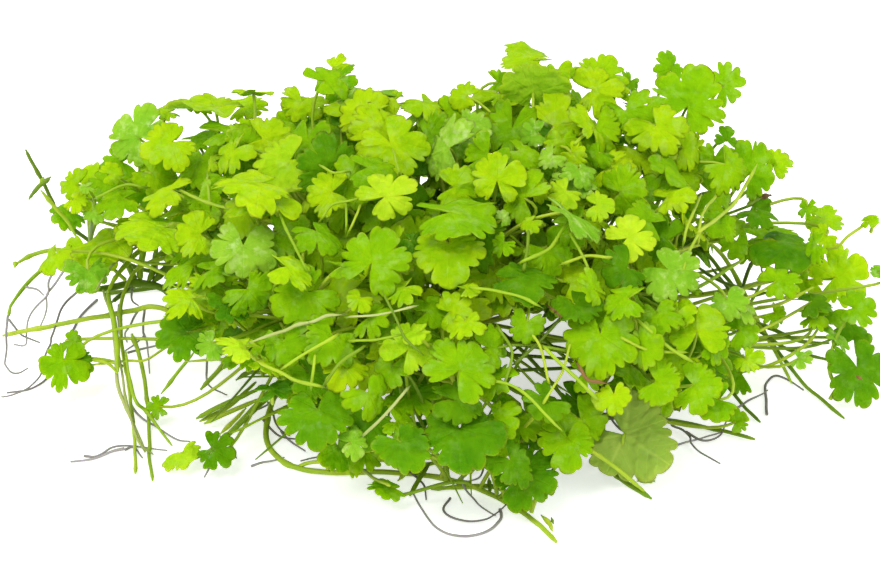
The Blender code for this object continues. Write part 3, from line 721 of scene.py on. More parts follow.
# Thin stems and stalks as they are seen in the picture: tone, radius in millimetres, level, and the points in
# its pixels. A level is how far over the dome of leaves they lie, or two heights over the surface, first and
# last, with a colon between.
STRANDS = rows_of("""
light 0.26 3 276,201 284,224 305,268
light 0.26 2.5 323,217 332,205 353,200
light 0.25 1.5 346,209 346,227
light 0.25 1.5 358,211 350,229
light 0.26 2.5 323,167 334,173 345,172
light 0.26 1.5 394,154 399,171
green 0.28 2.5 474,288 497,291 522,298 536,305
pale 0.32 2.5 254,341 270,335 284,331 297,325 312,322 326,316 338,315
pale 0.22 2.5 353,317 380,315 411,307
dark 0.24 3 385,296 394,315 405,338 420,352
light 0.24 2 353,341 376,340 399,335
light 0.32 2 262,364 281,372 295,380 319,386
green 0.28 2.5 286,366 307,352 334,337
green 0.3 1 315,354 312,382
green 0.28 2 465,385 491,381 520,390 556,425
dark 0.34 0.5 360,349 340,363 327,382
pale 0.3 0.5 367,432 384,416 405,392
light 0.4 0.6:0.6 371,459 396,461 415,466 453,460
light 0.34 0.5:2 398,481 412,466
dark 0.4 0.5:1.5 410,496 420,478 430,463
light 0.42 0.6:0.6 431,489 465,487 495,487 515,497
dark 0.3 0.5:1.5 490,494 489,478
light 0.36 3 753,172 742,192 729,209 701,231
light 0.3 1.5 701,231 690,250 683,270
light 0.3 1 698,202 687,228 684,241
light 0.28 1 716,196 703,214 699,238
green 0.38 24:1 698,233 727,261 755,315 792,383
green 0.32 24:20 744,259 705,283 679,296
dark 0.34 20:12 753,259 748,272 742,290
light 0.28 17:12 814,287 781,304 757,307
light 0.28 14:12 824,311 796,311
dark 0.36 8:5 758,322 775,330 800,341 829,343
dark 0.32 7:4 757,330 790,350 835,361
light 0.3 11:2 820,326 805,346 775,363 749,370
green 0.32 2 642,324 668,346 688,359
light 0.28 1 622,338 648,350 680,352
green 0.32 4 576,143 587,133 614,113
light 0.26 3 591,133 610,134 627,139
light 0.32 3 535,91 537,101 549,122
light 0.28 2 541,104 552,97 564,91
light 0.34 27:19 41,190 49,200 58,211 68,222 77,238
dark 0.4 26:26 51,177 44,183 37,188 29,199
light 0.28 1.5 100,196 125,185 143,187
light 0.32 1.5 176,189 196,198 214,205 234,209
light 0.28 1 208,180 210,203
light 0.4 15:12 84,262 62,250 46,251 30,256 15,264
green 0.38 15:8 96,270 70,258 45,268 22,290 4,316
deep 0.62 11:8 79,291 107,288 134,283 158,287 172,298
deep 0.56 14:9 124,250 128,264 133,275 137,285
green 0.6 15:9 146,236 142,258 140,272 141,285
deep 0.56 14:9 157,242 155,260 152,274 146,285
dark 0.66 14:9 181,248 172,262 162,273 150,285
deep 0.56 14:9 204,246 190,261 179,274 164,287
dark 0.46 14:13 155,254 170,253 186,255
deep 0.42 9:8 112,302 124,292 140,284
pale 0.22 20:12 150,230 166,222 184,218 194,236 202,252
pale 0.24 20:14 96,290 112,266 138,246 160,236 176,222
light 0.46 22:15 240,228 215,232 190,235 165,238 145,247 130,260 117,276 108,292
green 0.45 15:8 108,290 110,305 114,322 117,345 118,372
pale 0.34 12:0.6 103,290 112,319 116,354 118,386 132,421 145,452
green 0.3 9:1 125,350 134,397 147,412 172,446
pale 0.22 9:0.5 114,330 122,372 126,400 138,440 154,455
light 0.26 7:7 85,359 107,363 118,374
light 0.22 6:9 83,366 125,361 145,360 165,348 188,336
green 0.3 2:8 161,394 176,374 194,352
green 0.42 1.5:7 196,419 223,405 262,388
light 0.4 1:6 204,424 232,411 262,398
light 0.38 0.8:5 199,422 228,407 256,382
light 0.34 1:4 220,435 232,423 246,408
dark 0.36 1:4 236,380 250,372 266,374
dark 0.34 0 524,268 527,250 528,233
green 0.32 1 565,226 549,249 524,261
light 0.32 1 607,257 586,256 566,263
light 0.3 1 572,236 589,270 596,299
green 0.36 0.5 548,350 572,374 594,396
dark 0.3 -2 500,330 512,352 505,384
light 0.28 -1 520,322 540,345 548,378
dark 0.3 -2 560,318 541,340 518,360
light 0.26 -1.5 545,400 562,372 570,344
dark 0.28 -2.5 484,352 520,344 566,350
light 0.28 20:28 826,250 838,246 848,236 862,226 868,222
light 0.34 26:27 398,170 398,141
dark 0.32 10:14 690,262 722,282 756,290
dark 0.3 9:12 700,318 740,300 778,290
dark 0.3 12:9 712,268 735,300 748,330
green 0.28 14:8 770,262 752,300 724,336
green 0.26 10:8 686,300 716,322 752,338
light 0.3 24:23 114,234 136,226 160,216 186,212 214,208
light 0.35 9:0.7 588,447 606,461 628,478 646,493
green 0.3 1.5:1.2 637,481 646,481 655,481
dark 0.36 27:27 746,206 753,201 761,198
brown 0.46 27:27 760,198 765,196 771,195
brown 0.36 1 580,368 587,379 600,382
brown 0.24 2.5 552,309 556,312 560,316
light 0.34 0.8:0.8 541,515 549,524 552,531
dark 0.32 1.2:0.8 551,518 553,524
green 0.42 12.4:12 20,262 14,264 11,267
light 0.3 1:7 362,470 374,478 390,486
green 0.34 25:25 41,186 42,181 44,177
brown 0.3 7:7 856,376 862,380
light 0.28 11:12 190,236 190,262 191,288
light 0.28 12:9 194,238 199,266 208,300
""")

# Thread roots as they are seen in the picture: heights over the surface, first and last, and the points
THREAD_ROOTS = rows_of("""
13:1 66,268 54,285 48,296 47,310 41,325 36,330
13:0.5 56,268 49,281 48,294 38,305 29,319 27,332 26,344 11,345
11:12 27,287 38,290 44,296
7:0.5 9,319 18,330 25,336 40,343
9:0.5 77,291 71,298 61,310 57,321 51,336 50,345 42,363 39,377 29,388 13,396 2,398
8:0.5 7,316 3,330 5,341 1,348 2,359 11,371 20,372 29,369
9:7 132,288 131,300 138,306
8:3 140,308 130,325 125,334 127,343
8:1 145,308 144,330 143,336 134,345 122,353
4:0.5 143,334 147,345 149,374
8:5 118,304 119,330 121,336
4:4 128,354 143,349 163,343 176,336
0.5:0.5 82,456 96,456 112,449 127,446 145,448 167,452
0.5:0.5 125,450 132,447 138,452 143,459
1:0.5 131,404 143,419 156,427 176,439 190,442
6:0.5 209,350 208,376 212,388 227,396
2:0.5 212,452 210,468 205,477
1:0.5 216,436 230,444 236,459
0.5:0.5 250,467 270,462 284,457
2:0.5 470,462 462,482 476,500 496,516
2:0.5 468,468 484,462 480,478 464,483
0.5:0.5 451,499 443,511 462,520 488,519 507,503
1:0.5 408,470 424,486 426,500
0.5:0.5 660,452 680,446 697,440 726,431
1:0.5 686,432 700,440 712,440 722,432 733,410
16:13 762,250 764,260 762,272 775,278
1:0.5 737,409 752,398 768,390
1:0.5 281,430 292,444 305,452
2:0.5 268,402 276,424 290,436
2:0.5 262,420 281,436 300,440
12:4 196,228 210,232 214,246
14:12 159,230 180,222 196,232
14:10 168,245 158,262 160,270 175,250
""")


def sight_axes(bearing):
    """The directions to the right, upwards and towards the eye, as seen from that bearing."""
    turn = math.radians(bearing)
    right = Vector((math.cos(turn), math.sin(turn), 0))
    away = Vector((-math.sin(turn), math.cos(turn), 0))
    towards = Vector((0, 0, math.sin(EYE_ELEVATION))) - away * math.cos(EYE_ELEVATION)
    upwards = Vector((0, 0, math.cos(EYE_ELEVATION))) + away * math.sin(EYE_ELEVATION)
    return right, upwards, towards


def heart_of(leaf, lift):
    """Where the stalk meets the blade: on the line of sight, at its height or on the dome, and lifted."""
    right, upwards, towards = sight_axes(leaf.bearing)
    aside = right * leaf.across + upwards * leaf.up
    start = SIGHT_CENTRE + aside
    step = towards - aside / EYE_DISTANCE
    if leaf.height is not None:
        return start + step * ((leaf.height - start.z) / step.z + lift)
    p = Vector(a / b for a, b in zip(start, DOME))
    d = Vector(a / b for a, b in zip(step, DOME))
    nearest = -p.dot(d) / d.dot(d)
    inside = nearest * nearest - (p.dot(p) - 1) / d.dot(d)
    return start + step * (nearest + math.sqrt(max(inside, 0)) + lift)


def leaf_axes(leaf):
    """The blade's own directions: to its side, along its middle lobe, and out of its upper face."""
    right, upwards, towards = sight_axes(leaf.bearing)
    turn, nod, hour = math.radians(leaf.turn), math.radians(leaf.nod), math.radians(30 * leaf.tip)
    face = math.cos(nod) * (math.cos(turn) * towards + math.sin(turn) * right) + math.sin(nod) * upwards
    tip = math.sin(hour) * right + math.cos(hour) * upwards
    tip = (tip - face * tip.dot(face)).normalized()
    return tip.cross(face), tip, face


def rim_reach(leaf, lobe, share):
    """How far the rim is from the heart in a lobe, at a share of its half width, and at which angle."""
    span = math.radians(360 - BACK_GAP_DEG) / leaf.lobes
    middle = (leaf.lobes - 1) / 2
    rearness = abs(lobe - middle) / middle
    length = 1 - (1 - REAR_LOBE_LENGTH) * rearness**2
    at_back = (lobe == 0 and share < 0) or (lobe == leaf.lobes - 1 and share > 0)
    cut = max(leaf.cut, BACK_CUT) if at_back else leaf.cut
    reach = length * (1 - cut * abs(share) ** LOBE_SQUARENESS)
    return leaf.width / 2 * reach, (lobe - middle + share / 2) * span


def blade_point(leaf, share_out, reach, angle, lobe_share):
    """A point of the blade in its own directions: side, tip and face."""
    out = share_out * reach
    radius = leaf.width / 2
    height = -leaf.droop * out * out / radius + FOLD * out * abs(lobe_share)
    return Vector((out * math.sin(angle), out * math.cos(angle), height))


def rim_points(leaf, lobe_shares):
    """(reach, angle, lobe share) round the whole rim, one side of the gap at the back to the other."""
    rim = [(*rim_reach(leaf, lobe, share), share) for lobe in range(leaf.lobes) for share in lobe_shares]
    return rim + [(*rim_reach(leaf, leaf.lobes - 1, 1), 1)]


def smooth_route(route, count, floor):
    """Points spread along a smooth curve through the route, none under the floor height."""
    knots = [Vector(p) for p in route]
    knots = [2 * knots[0] - knots[1], *knots, 2 * knots[-1] - knots[-2]]
    found = []
    for i in range(count):
        at = i * (len(route) - 1) / (count - 1)
        span = min(int(at), len(route) - 2)
        t = at - span
        a, b, c, d = knots[span : span + 4]
        point = b + 0.5 * t * (c - a + t * (2 * a - 5 * b + 4 * c - d + t * (3 * (b - c) + d - a)))
        point.z = max(point.z, floor)
        found.append(point)
    return found


def spread_points(points, spacing):
    """Points at that spacing along straight runs between the points."""
    found = [points[0]]
    for a, b in zip(points, points[1:]):
        steps = max(1, math.ceil((b - a).length / spacing))
        found += [a.lerp(b, i / steps) for i in range(1, steps + 1)]
    return found


class Space:
    """What is taken already: points on blades, stalks and stems, each group with its middle and reach."""

    def __init__(self):
        self.groups = []

    def take(self, kind, owner, points):
        cloud = np.array([tuple(p) for p in points])
        middle = cloud.mean(axis=0)
        reach = np.linalg.norm(cloud - middle, axis=1).max()
        self.groups.append((kind, owner, cloud, middle, reach))

    def margin(self, points, clearances, left_out=()):
        """The least distance from the points to what is taken, over the clearance for its kind."""
        cloud = np.array([tuple(p) for p in points])
        middle = cloud.mean(axis=0)
        reach = np.linalg.norm(cloud - middle, axis=1).max()
        least = math.inf
        for kind, holder, others, centre, spread in self.groups:
            if kind not in clearances or holder in left_out:
                continue
            if np.linalg.norm(centre - middle) > reach + spread + clearances[kind]:
                continue
            apart = np.linalg.norm(cloud[:, None] - others[None], axis=2).min()
            least = min(least, apart - clearances[kind])
        return least

    def box_middle(self):
        """The middle of the box round everything taken, on the surface."""
        every = np.concatenate([group[2] for group in self.groups])
        middle = (every.min(axis=0) + every.max(axis=0)) / 2
        return Vector((middle[0], middle[1], 0))


def blade_cloud(leaf, heart):
    side, tip, face = leaf_axes(leaf)
    cloud = [heart]
    for reach, angle, share in rim_points(leaf, CLOUD_SHARES):
        for out in CLOUD_OUTS:
            p = blade_point(leaf, out, reach, angle, share)
            cloud.append(heart + side * p.x + tip * p.y + face * p.z)
    return cloud


def place_leaf(leaf, space):
    """The heart of the leaf, lifted towards the eye until its blade is clear of what lies there."""
    lift = 0.0
    while True:
        heart = heart_of(leaf, lift)
        cloud = blade_cloud(leaf, heart)
        margin = space.margin(cloud, BLADE_CLEARANCES)
        if margin > 0 and min(p.z for p in cloud) > BLADE_THICKNESS:
            space.take("blade", leaf.name, cloud)
            return heart
        lift += LIFT_STEP
        if lift > LONGEST_LIFT:
            raise ValueError(f"{leaf.name} finds no room for its blade")


def stalk_curve(foot, leave, heart, arrive, pull_share, count):
    """A stalk that leaves the stem along one direction and comes to the blade along another."""
    pull = pull_share * (heart - foot).length
    a, b, c, d = foot, foot + leave * pull, heart - arrive * pull, heart
    found = []
    for i in range(count):
        t = i / (count - 1)
        s = 1 - t
        found.append(a * s**3 + b * (3 * s * s * t) + c * (3 * s * t * t) + d * t**3)
    return found


def stalk_starts(heart, hosts, host_radius):
    """(length, host, foot, way off) for every place on the hosts from which a stalk could start."""
    starts = []
    for host, points in hosts.items():
        for before, at, after in zip(points, points[1:], points[2:]):
            along = (after - before).normalized()
            span = heart - at
            if not STALK_SHORTEST < span.length < STALK_LONGEST:
                continue
            for lean in STALK_LEANS:
                leave = span.normalized() + Vector((0, 0, lean))
                leave = (leave - along * leave.dot(along)).normalized()
                if leave.z > LOWEST_LEAVE:
                    starts.append((span.length, host, at + leave * host_radius, leave))
    return sorted(starts, key=lambda start: start[0])


def stalk_of(leaf, heart, hosts, host_radius, space):
    """The shortest stalk up to the heart that is clear of every other piece, and the host it grows from."""
    tip, face = leaf_axes(leaf)[1:]
    own = Space()
    rings = len(CLOUD_OUTS)
    outer = [p for i, p in enumerate(blade_cloud(leaf, heart)[1:]) if i % rings > rings // 3]
    own.take("blade", "own", outer)
    for _, host, foot, leave in stalk_starts(heart, hosts, host_radius):
        for pitch, pull in itertools.product(STALK_PITCHES, STALK_PULLS):
            arrive = face * math.cos(math.radians(pitch)) + tip * math.sin(math.radians(pitch))
            curve = stalk_curve(foot, leave, heart, arrive, pull, CLOUD_STALK)
            upper = curve[CLOUD_FOOT:]
            if min(p.z for p in curve) < STALK_RADIUS + PIECE_GAP:
                continue
            if own.margin(curve[CLOUD_FOOT:-CLOUD_FOOT], {"blade": STALK_FROM_OWN_BLADE}) < 0:
                continue
            if space.margin(upper, {"stem": STALK_FROM_STEM}) < 0:
                continue
            if space.margin(curve, STALK_CLEARANCES, {leaf.name, host}) < 0:
                continue
            if space.margin(upper, STALK_CLEARANCES, {leaf.name}) > 0:
                space.take("stalk", leaf.name, curve)
                return host, curve
    raise ValueError(f"{leaf.name} finds no clear way down to a stem")


def lay_out():
    """Routes of the stems and roots, every leaf as (leaf, heart, stalk, host), and the middle of the box."""
    space = Space()
    stems = {name: smooth_route(route, STEM_POINTS, STEM_RADIUS * HEX_FLAT) for name, route in STEMS.items()}
    roots = {name: smooth_route(route, ROOT_POINTS, ROOT_RADIUS) for name, route in ROOTS.items()}
    feet = {name: spread_points(points, FOOT_SPACING) for name, points in stems.items()}
    for name, points in feet.items():
        space.take("stem", name, points)
    for name, points in roots.items():
        space.take("root", name, spread_points(points, FOOT_SPACING))
    hearts = {leaf.name: place_leaf(leaf, space) for leaf in LEAVES}
    placed, hosts = [], {}
    for leaf in LEAVES:
        heart = hearts[leaf.name]
        host, curve = stalk_of(leaf, heart, feet, STEM_RADIUS + PIECE_GAP + STALK_FOOT_DROP, space)
        placed.append((leaf, heart, curve, host))
        hosts[leaf.name] = curve[SIDE_LEAF_FROM]
    for leaf in SIDE_LEAVES:
        heart = place_leaf(leaf, space)
        host, curve = stalk_of(leaf, heart, hosts, 0, space)
        placed.append((leaf, heart, curve, host))
        hosts.pop(host)
    return stems, roots, placed, space.box_middle()


# Room for the leaves that only the looks have, and what makes one way for a stalk worse than another
CELL = 0.9
FREE_SHARE = 0.01
LAYER_REACH = 9.0
DRAWN_RISE = 1.5
LAYER_STEP = 0.75
EDGE_KEPT_CLEAR = 0.4
STALK_SPAN = (7.0, 40.0)
STALK_PICKS = slice(0, 216, 12)
WINDOW_COST = 0.9
STALK_STEPS = 16
LENGTH_COST = 0.006
OUTSIDE_COST = 0.012
THIN_STALK_RISE = 0.7
THIN_STALK_PULL = 0.34
CROWDED_PART = slice(2, -3)
BARE_PART = slice(-3, None)

# Where extra stalks may start: how close along the stems, and which parts of the clump have none
FOOT_GAP = 1.5
INNER_FOOT_GAP = 2.5
NO_FEET_RIGHT_OF = 15
NO_FEET_RIGHT_BEFORE = -20
NO_FEET_BEFORE = -38
REROUTED_WITHIN = 48
REROUTED_BEHIND = -12

Sprig = namedtuple("Sprig", "leaf heart stalk")
Spot = namedtuple("Spot", "bearing across up height")
LAID_OUT = {}


class Room:
    """Which cells of the space round the clump are taken by blades."""

    def __init__(self, low, high):
        self.low, self.high = low, high
        self.taken = np.zeros(((high - low) / CELL).astype(int) + 2, bool)

    def cells(self, points):
        at = ((points - self.low) / CELL).astype(int)
        return tuple(np.moveaxis(np.clip(at, 0, np.array(self.taken.shape) - 1), -1, 0))

    def take(self, points):
        self.taken[self.cells(points)] = True

    def crowding(self, points):
        """The share of the points that are in a taken cell, over the last axis but one."""
        return self.taken[self.cells(points)].mean(axis=-1)


def settle(leaf, layer, room, highest):
    """The heart of an extra leaf: as near its layer as the others leave room for, and inside the box."""
    right, upwards, towards = sight_axes(leaf.bearing)
    step = towards - (right * leaf.across + upwards * leaf.up) / EYE_DISTANCE
    start = heart_of(leaf, layer)
    cloud = np.array(blade_cloud(leaf, start))
    best = None
    for lift in sorted(np.arange(-LAYER_REACH, highest + LAYER_STEP, LAYER_STEP), key=abs):
        moved = cloud + np.array(step) * lift
        inward = np.maximum(room.low + EDGE_KEPT_CLEAR - moved.min(axis=0), 0)
        inward = inward - np.maximum(moved.max(axis=0) - room.high + EDGE_KEPT_CLEAR, 0)
        crowding = room.crowding(moved + inward)
        if best is None or crowding < best[0]:
            best = crowding, start + step * float(lift) + Vector(inward), moved + inward
        if crowding <= FREE_SHARE:
            break
    room.take(best[2])
    return best[1]


def thin_stalk(leaf, heart, feet, room):
    """The least crowded short stalk to an extra leaf's heart from a stem nearby, as rows of points."""
    tip, face = (np.array(v) for v in leaf_axes(leaf)[1:])
    goal, centre = np.array(heart), (room.low + room.high)[:2] / 2
    spans = np.linalg.norm(goal - feet, axis=1)
    inside = np.flatnonzero((spans > STALK_SPAN[0]) & (spans < STALK_SPAN[1]))
    picked = feet[inside[np.argsort(spans[inside])][STALK_PICKS]]
    t = np.linspace(0, 1, STALK_STEPS)[:, None]
    best = None
    for foot in picked:
        span = goal - foot
        length = np.linalg.norm(span)
        leave = span / length + np.array((0, 0, THIN_STALK_RISE))
        leave = leave / np.linalg.norm(leave)
        for pitch in STALK_PITCHES:
            arrive = face * math.cos(math.radians(pitch)) + tip * math.sin(math.radians(pitch))
            b, c = foot + leave * length * THIN_STALK_PULL, goal - arrive * length * THIN_STALK_PULL
            curve = foot * (1 - t) ** 3 + b * 3 * (1 - t) ** 2 * t + c * 3 * (1 - t) * t**2 + goal * t**3
            outside = max(np.hypot(*(foot[:2] - centre)) - np.hypot(*(goal[:2] - centre)), 0)
            cost = room.crowding(curve[CROWDED_PART]) + LENGTH_COST * length + OUTSIDE_COST * outside
            cost += (curve[:, 2].min() < STALK_RADIUS) + WINDOW_COST * in_windows(*pixels_of(curve)).mean()
            if best is None or cost < best[0]:
                best = cost, curve
    return best[1]


def front_leaf(row, place, rng):
    """The extra leaf of a row of the front table, and its layer. What the row leaves open is drawn by lot."""
    across, up, width, tone, *known = row
    form = {"height": None, "lobes": USUAL_LOBES, "layer": 0, "bare": 0}
    form.update((key, rng.uniform(*ends)) for key, ends in DRAWN_IN_FRONT.items())
    form.update((key, number(word)) for key, word in (pair.split("=") for pair in known))
    layer = form.pop("layer")
    name = f"bare_{place}" if form.pop("bare") else f"extra_{place}"
    return Leaf(name, 0, number(across), number(up), width=number(width), tone=tone, **form), layer


def outward_leaf(name, azimuth, height_share, depth, width, tone, rng):
    """A leaf at a place on the dome, or below it by a depth, that faces outwards and a little up."""
    level = math.asin(height_share)
    place = Vector((
        math.cos(azimuth) * math.cos(level) * DOME.x, math.sin(azimuth) * math.cos(level) * DOME.y,
        height_share * DOME.z)) * depth
    bearing = math.degrees(math.atan2(math.cos(azimuth), -math.sin(azimuth)))
    right, upwards = sight_axes(bearing)[:2]
    seen = place - SIGHT_CENTRE
    tip, turn, nod = (rng.uniform(*DRAWN_ON_DOME[key]) for key in ("tip", "turn", "nod"))
    lobes = USUAL_LOBES if rng.random() < USUAL_LOBES_CHANCE else USUAL_LOBES - 1
    cut, droop = (rng.uniform(*DRAWN_ON_DOME[key]) for key in ("cut", "droop"))
    across, up, height = seen.dot(right), seen.dot(upwards), max(place.z, LOWEST_HEART)
    return Leaf(name, bearing, across, up, height, width, tip, turn, nod, lobes, cut, droop, tone)


def pixels_of(places):
    """The columns and rows of the picture at which places show."""
    right, upwards, towards = (np.array(v) for v in sight_axes(0))
    aside = np.asarray(places) - np.array(SIGHT_CENTRE)
    scale = EYE_DISTANCE / (EYE_DISTANCE - aside @ towards) * PIXELS_A_MM
    return PICTURE_CENTRE[0] + aside @ right * scale, PICTURE_CENTRE[1] - aside @ upwards * scale


def in_windows(column, row):
    """Whether the clump lets the light through there, as seen from the front."""
    return np.any(
        [((column - x) / wide) ** 2 + ((row - y) / high) ** 2 < 1 for x, y, wide, high in WINDOWS], axis=0)


def in_a_window(leaf):
    """Whether a leaf would show, from the front, where the clump lets the light through."""
    column, row = pixels_of(heart_of(leaf, 0))
    return row > LOWEST_DRAWN or in_windows(column, row)


def outward_leaves(rng, first_number, counts):
    """Leaves of the sides and the back, of the canopy under its top leaves, and of the shade inside."""
    made = []
    for layer, count in counts:
        depths, widths, from_azimuth, to_azimuth, lowest = LEAF_LAYERS[layer]
        for _ in range(count):
            azimuth = math.radians(rng.uniform(from_azimuth, to_azimuth))
            share = rng.uniform(lowest, HIGHEST_SHARE)
            tones = LAYER_TONES[layer][share > LIGHT_FROM]
            tone = tones[rng.integers(len(tones))]
            name = f"{layer}_{first_number + len(made)}"
            leaf = outward_leaf(name, azimuth, share, rng.uniform(*depths), rng.uniform(*widths), tone, rng)
            if not in_a_window(leaf):
                made.append(leaf)
    return made


def kept_inside(points, low, high):
    return [Vector(np.clip(np.array(p), low, high)) for p in points]


def stalk_feet(stems, inner):
    """The places on the creeping stems and on the thin ones inside from which extra stalks may start."""
    feet = np.array([tuple(p) for points in stems for p in spread_points(points, FOOT_GAP)]
                    + [tuple(p) for points in inner for p in spread_points(points, INNER_FOOT_GAP)])
    allowed = (feet[:, 0] < NO_FEET_RIGHT_OF) | (feet[:, 1] > NO_FEET_RIGHT_BEFORE)
    return feet[allowed & (feet[:, 1] > NO_FEET_BEFORE) & ~in_windows(*pixels_of(feet))]


def clump():
    """Everything laid out once, in millimetres: stems, roots, leaves, and the extra ones of each kind."""
    if LAID_OUT:
        return LAID_OUT
    settings = bpy.context.scene.pennywort_growth
    stems, roots, placed, middle = lay_out()
    rng = np.random.default_rng(settings.seed)
    low = np.array(FRAME_BOUNDS[0]) / MM + np.array(middle)
    high = np.array(FRAME_BOUNDS[1]) / MM + np.array(middle)
    room = Room(low, high)
    for leaf, heart, _, _ in placed:
        room.take(np.array(blade_cloud(leaf, heart)))
    strands = [strand(*row) for row in STRANDS]
    inner = inner_stems(rng, settings.inner_stems)
    thin = [(tone, radius, end, kept_inside(points, low - SIDE_SLACK, high + SIDE_SLACK))
            for tone, radius, end, points in strands + inner]
    feet = stalk_feet(stems.values(), [points for _, _, _, points in thin[len(strands):]])
    leaves = [front_leaf(row, place, rng) for place, row in enumerate(FRONT_LEAVES)]
    counts = (("back", settings.back_leaves), ("canopy", settings.canopy_leaves),
              ("inner", settings.inner_leaves))
    leaves += [(leaf, 0) for leaf in outward_leaves(rng, len(leaves), counts)]
    hearts = [settle(leaf, layer, room, LAYER_REACH if place < len(FRONT_LEAVES) else DRAWN_RISE)
              for place, (leaf, layer) in enumerate(leaves)]
    extra = []
    for (leaf, _), heart in zip(leaves, hearts):
        stalk = thin_stalk(leaf, heart, feet, room)
        extra.append(Sprig(leaf, heart, stalk[BARE_PART] if leaf.name.startswith("bare") else stalk))
    threads = [strand_route(level_of(heights), points_of(route)) for heights, *route in THREAD_ROOTS]
    threads += wandering_roots(rng, settings.inner_roots, feet)
    threads = [kept_inside(points, low - SIDE_SLACK, high + SIDE_SLACK) for points in threads]
    inside = feet[(np.abs(feet[:, 0]) < REROUTED_WITHIN) & (feet[:, 1] > REROUTED_BEHIND)]
    for place, (leaf, heart, stalk, host) in enumerate(placed):
        if leaf.name in REROUTED:
            stalk = thin_stalk(leaf, heart, inside, room)
        placed[place] = shown(leaf), heart, stalk, host
    LAID_OUT.update(
        stems=stems, roots=roots, placed=placed, middle=middle, thin=thin, extra=extra, threads=threads)
    return LAID_OUT


def shown(leaf):
    """A solid leaf as the looks have it: with shallower cuts, and turned where the picture asks for it."""
    return leaf._replace(**{"cut": leaf.cut * CUT_SHARE, **SHOWN_AS.get(leaf.name, {})})


def seen_at(column, row, height, lift=0):
    """The place that is seen at a pixel of the picture, at a height or over the dome."""
    across, up = (column - PICTURE_CENTRE[0]) / PIXELS_A_MM, (PICTURE_CENTRE[1] - row) / PIXELS_A_MM
    return heart_of(Spot(0, across, up, height), lift)


def strand_route(level, route):
    """The smooth way of a thin stem: over the dome, or between two heights."""
    if isinstance(level, tuple):
        heights = np.linspace(*level, len(route))
        places = [seen_at(*at, float(height)) for at, height in zip(route, heights)]
    else:
        ends = [np.add(a, np.subtract(a, b) / math.dist(a, b) * DIVE_PIXELS)
                for a, b in (route[:2], route[:-3:-1])]
        places = [seen_at(*at, None, level) for at in route]
        places = [seen_at(*ends[0], None, DIVE_LEVEL), *places, seen_at(*ends[1], None, DIVE_LEVEL)]
    return smooth_route(places, ROUTE_DETAIL * len(places), STRAND_FLOOR)


def strand(tone, radius, level, *route):
    """A row of the strands as (tone, radius, share of it left at the ends, points)."""
    points = strand_route(level_of(level), points_of(route))
    if ":" in level:
        return tone, number(radius), LAID_TIP_SHARE, points
    return tone, number(radius) * STRAND_SHARE, DIVING_TIP_SHARE, points


def inner_stems(rng, count):
    """Thin stems that cross the inside of the clump."""
    made = []
    for _ in range(count):
        azimuth = rng.uniform(0, 2 * math.pi)
        start = inner_end(rng, azimuth, *INNER_START)
        end = inner_end(rng, azimuth + math.pi + rng.uniform(-INNER_VEER, INNER_VEER), *INNER_END)
        bend = (start + end) / 2 + Vector(rng.uniform(-INNER_BOW, INNER_BOW, 3)) + Vector((0, 0, INNER_RISE))
        tone = "dark" if rng.random() < INNER_DARK_CHANCE else "light"
        radius = rng.uniform(*INNER_RADII)
        points = smooth_route([start, bend, end], INNER_POINTS, INNER_FLOOR)
        made.append((tone, radius, INNER_TIP_SHARE, points))
    return made


def inner_end(rng, azimuth, reaches, heights):
    """A place inside the dome at an azimuth, at a reach and a height drawn by lot."""
    reach, height = rng.uniform(*reaches), rng.uniform(*heights)
    return Vector((math.cos(azimuth) * DOME.x * reach, math.sin(azimuth) * DOME.y * reach, height))


def wandering_roots(rng, count, feet):
    """Thread roots that wander over the surface from low places of the stems."""
    near = (np.abs(feet[:, 0]) < ROOT_START_WITHIN) & (feet[:, 1] > ROOT_START_BEHIND)
    low_feet = feet[(feet[:, 2] < ROOT_START_UNDER) & near]
    made = []
    for _ in range(count):
        at = Vector(low_feet[rng.integers(len(low_feet))])
        heading = math.atan2(at.y, at.x) + rng.uniform(-ROOT_VEER, ROOT_VEER)
        points = [at.copy()]
        bend = rng.uniform(-ROOT_BEND, ROOT_BEND)
        for _ in range(int(rng.integers(*ROOT_STEPS))):
            heading += bend + rng.normal(0, ROOT_STRAY)
            at = at + Vector((math.cos(heading), math.sin(heading), 0)) * ROOT_STEP
            at.z = max(at.z * ROOT_SINKING, ROOT_FLOOR)
            points.append(at.copy())
        made.append(smooth_route(points, 2 * len(points), ROOT_FLOOR))
    return made


class Reading:
    """A number worked out by nodes, so that a form can be written down as a sum."""

    def __init__(self, tree, socket):
        self.tree, self.socket = tree, socket

    def using(self, operation, *others):
        made = self.tree.nodes.new("ShaderNodeMath")
        made.operation = operation
        for slot, value in zip(made.inputs, (self, *others)):
            feed(self.tree, slot, value)
        return Reading(self.tree, made.outputs[0])

    def __add__(self, other):
        return self.using("ADD", other)

    def __sub__(self, other):
        return self.using("SUBTRACT", other)

    def __mul__(self, other):
        return self.using("MULTIPLY", other)

    def __truediv__(self, other):
        return self.using("DIVIDE", other)

    def __rsub__(self, other):
        return self * -1 + other

    __radd__ = __add__
    __rmul__ = __mul__

    def power(self, other):
        return self.using("POWER", other)

    def least(self, other):
        return self.using("MINIMUM", other)

    def most(self, other):
        return self.using("MAXIMUM", other)


def feed(tree, slot, value):
    if isinstance(value, Reading):
        tree.links.new(value.socket, slot)
    elif isinstance(value, bpy.types.NodeSocket):
        tree.links.new(value, slot)
    else:
        slot.default_value = value


def socket_of(sockets, key):
    return next((s for s in sockets if s.identifier == key), None) or sockets[key]


def add(tree, kind, inputs=None, **settings):
    """A node of that kind with its settings, its inputs fed by name or identifier."""
    made = tree.nodes.new(kind)
    for key, value in settings.items():
        setattr(made, key, value)
    for key, value in (inputs or {}).items():
        feed(tree, socket_of(made.inputs, key), value)
    return made


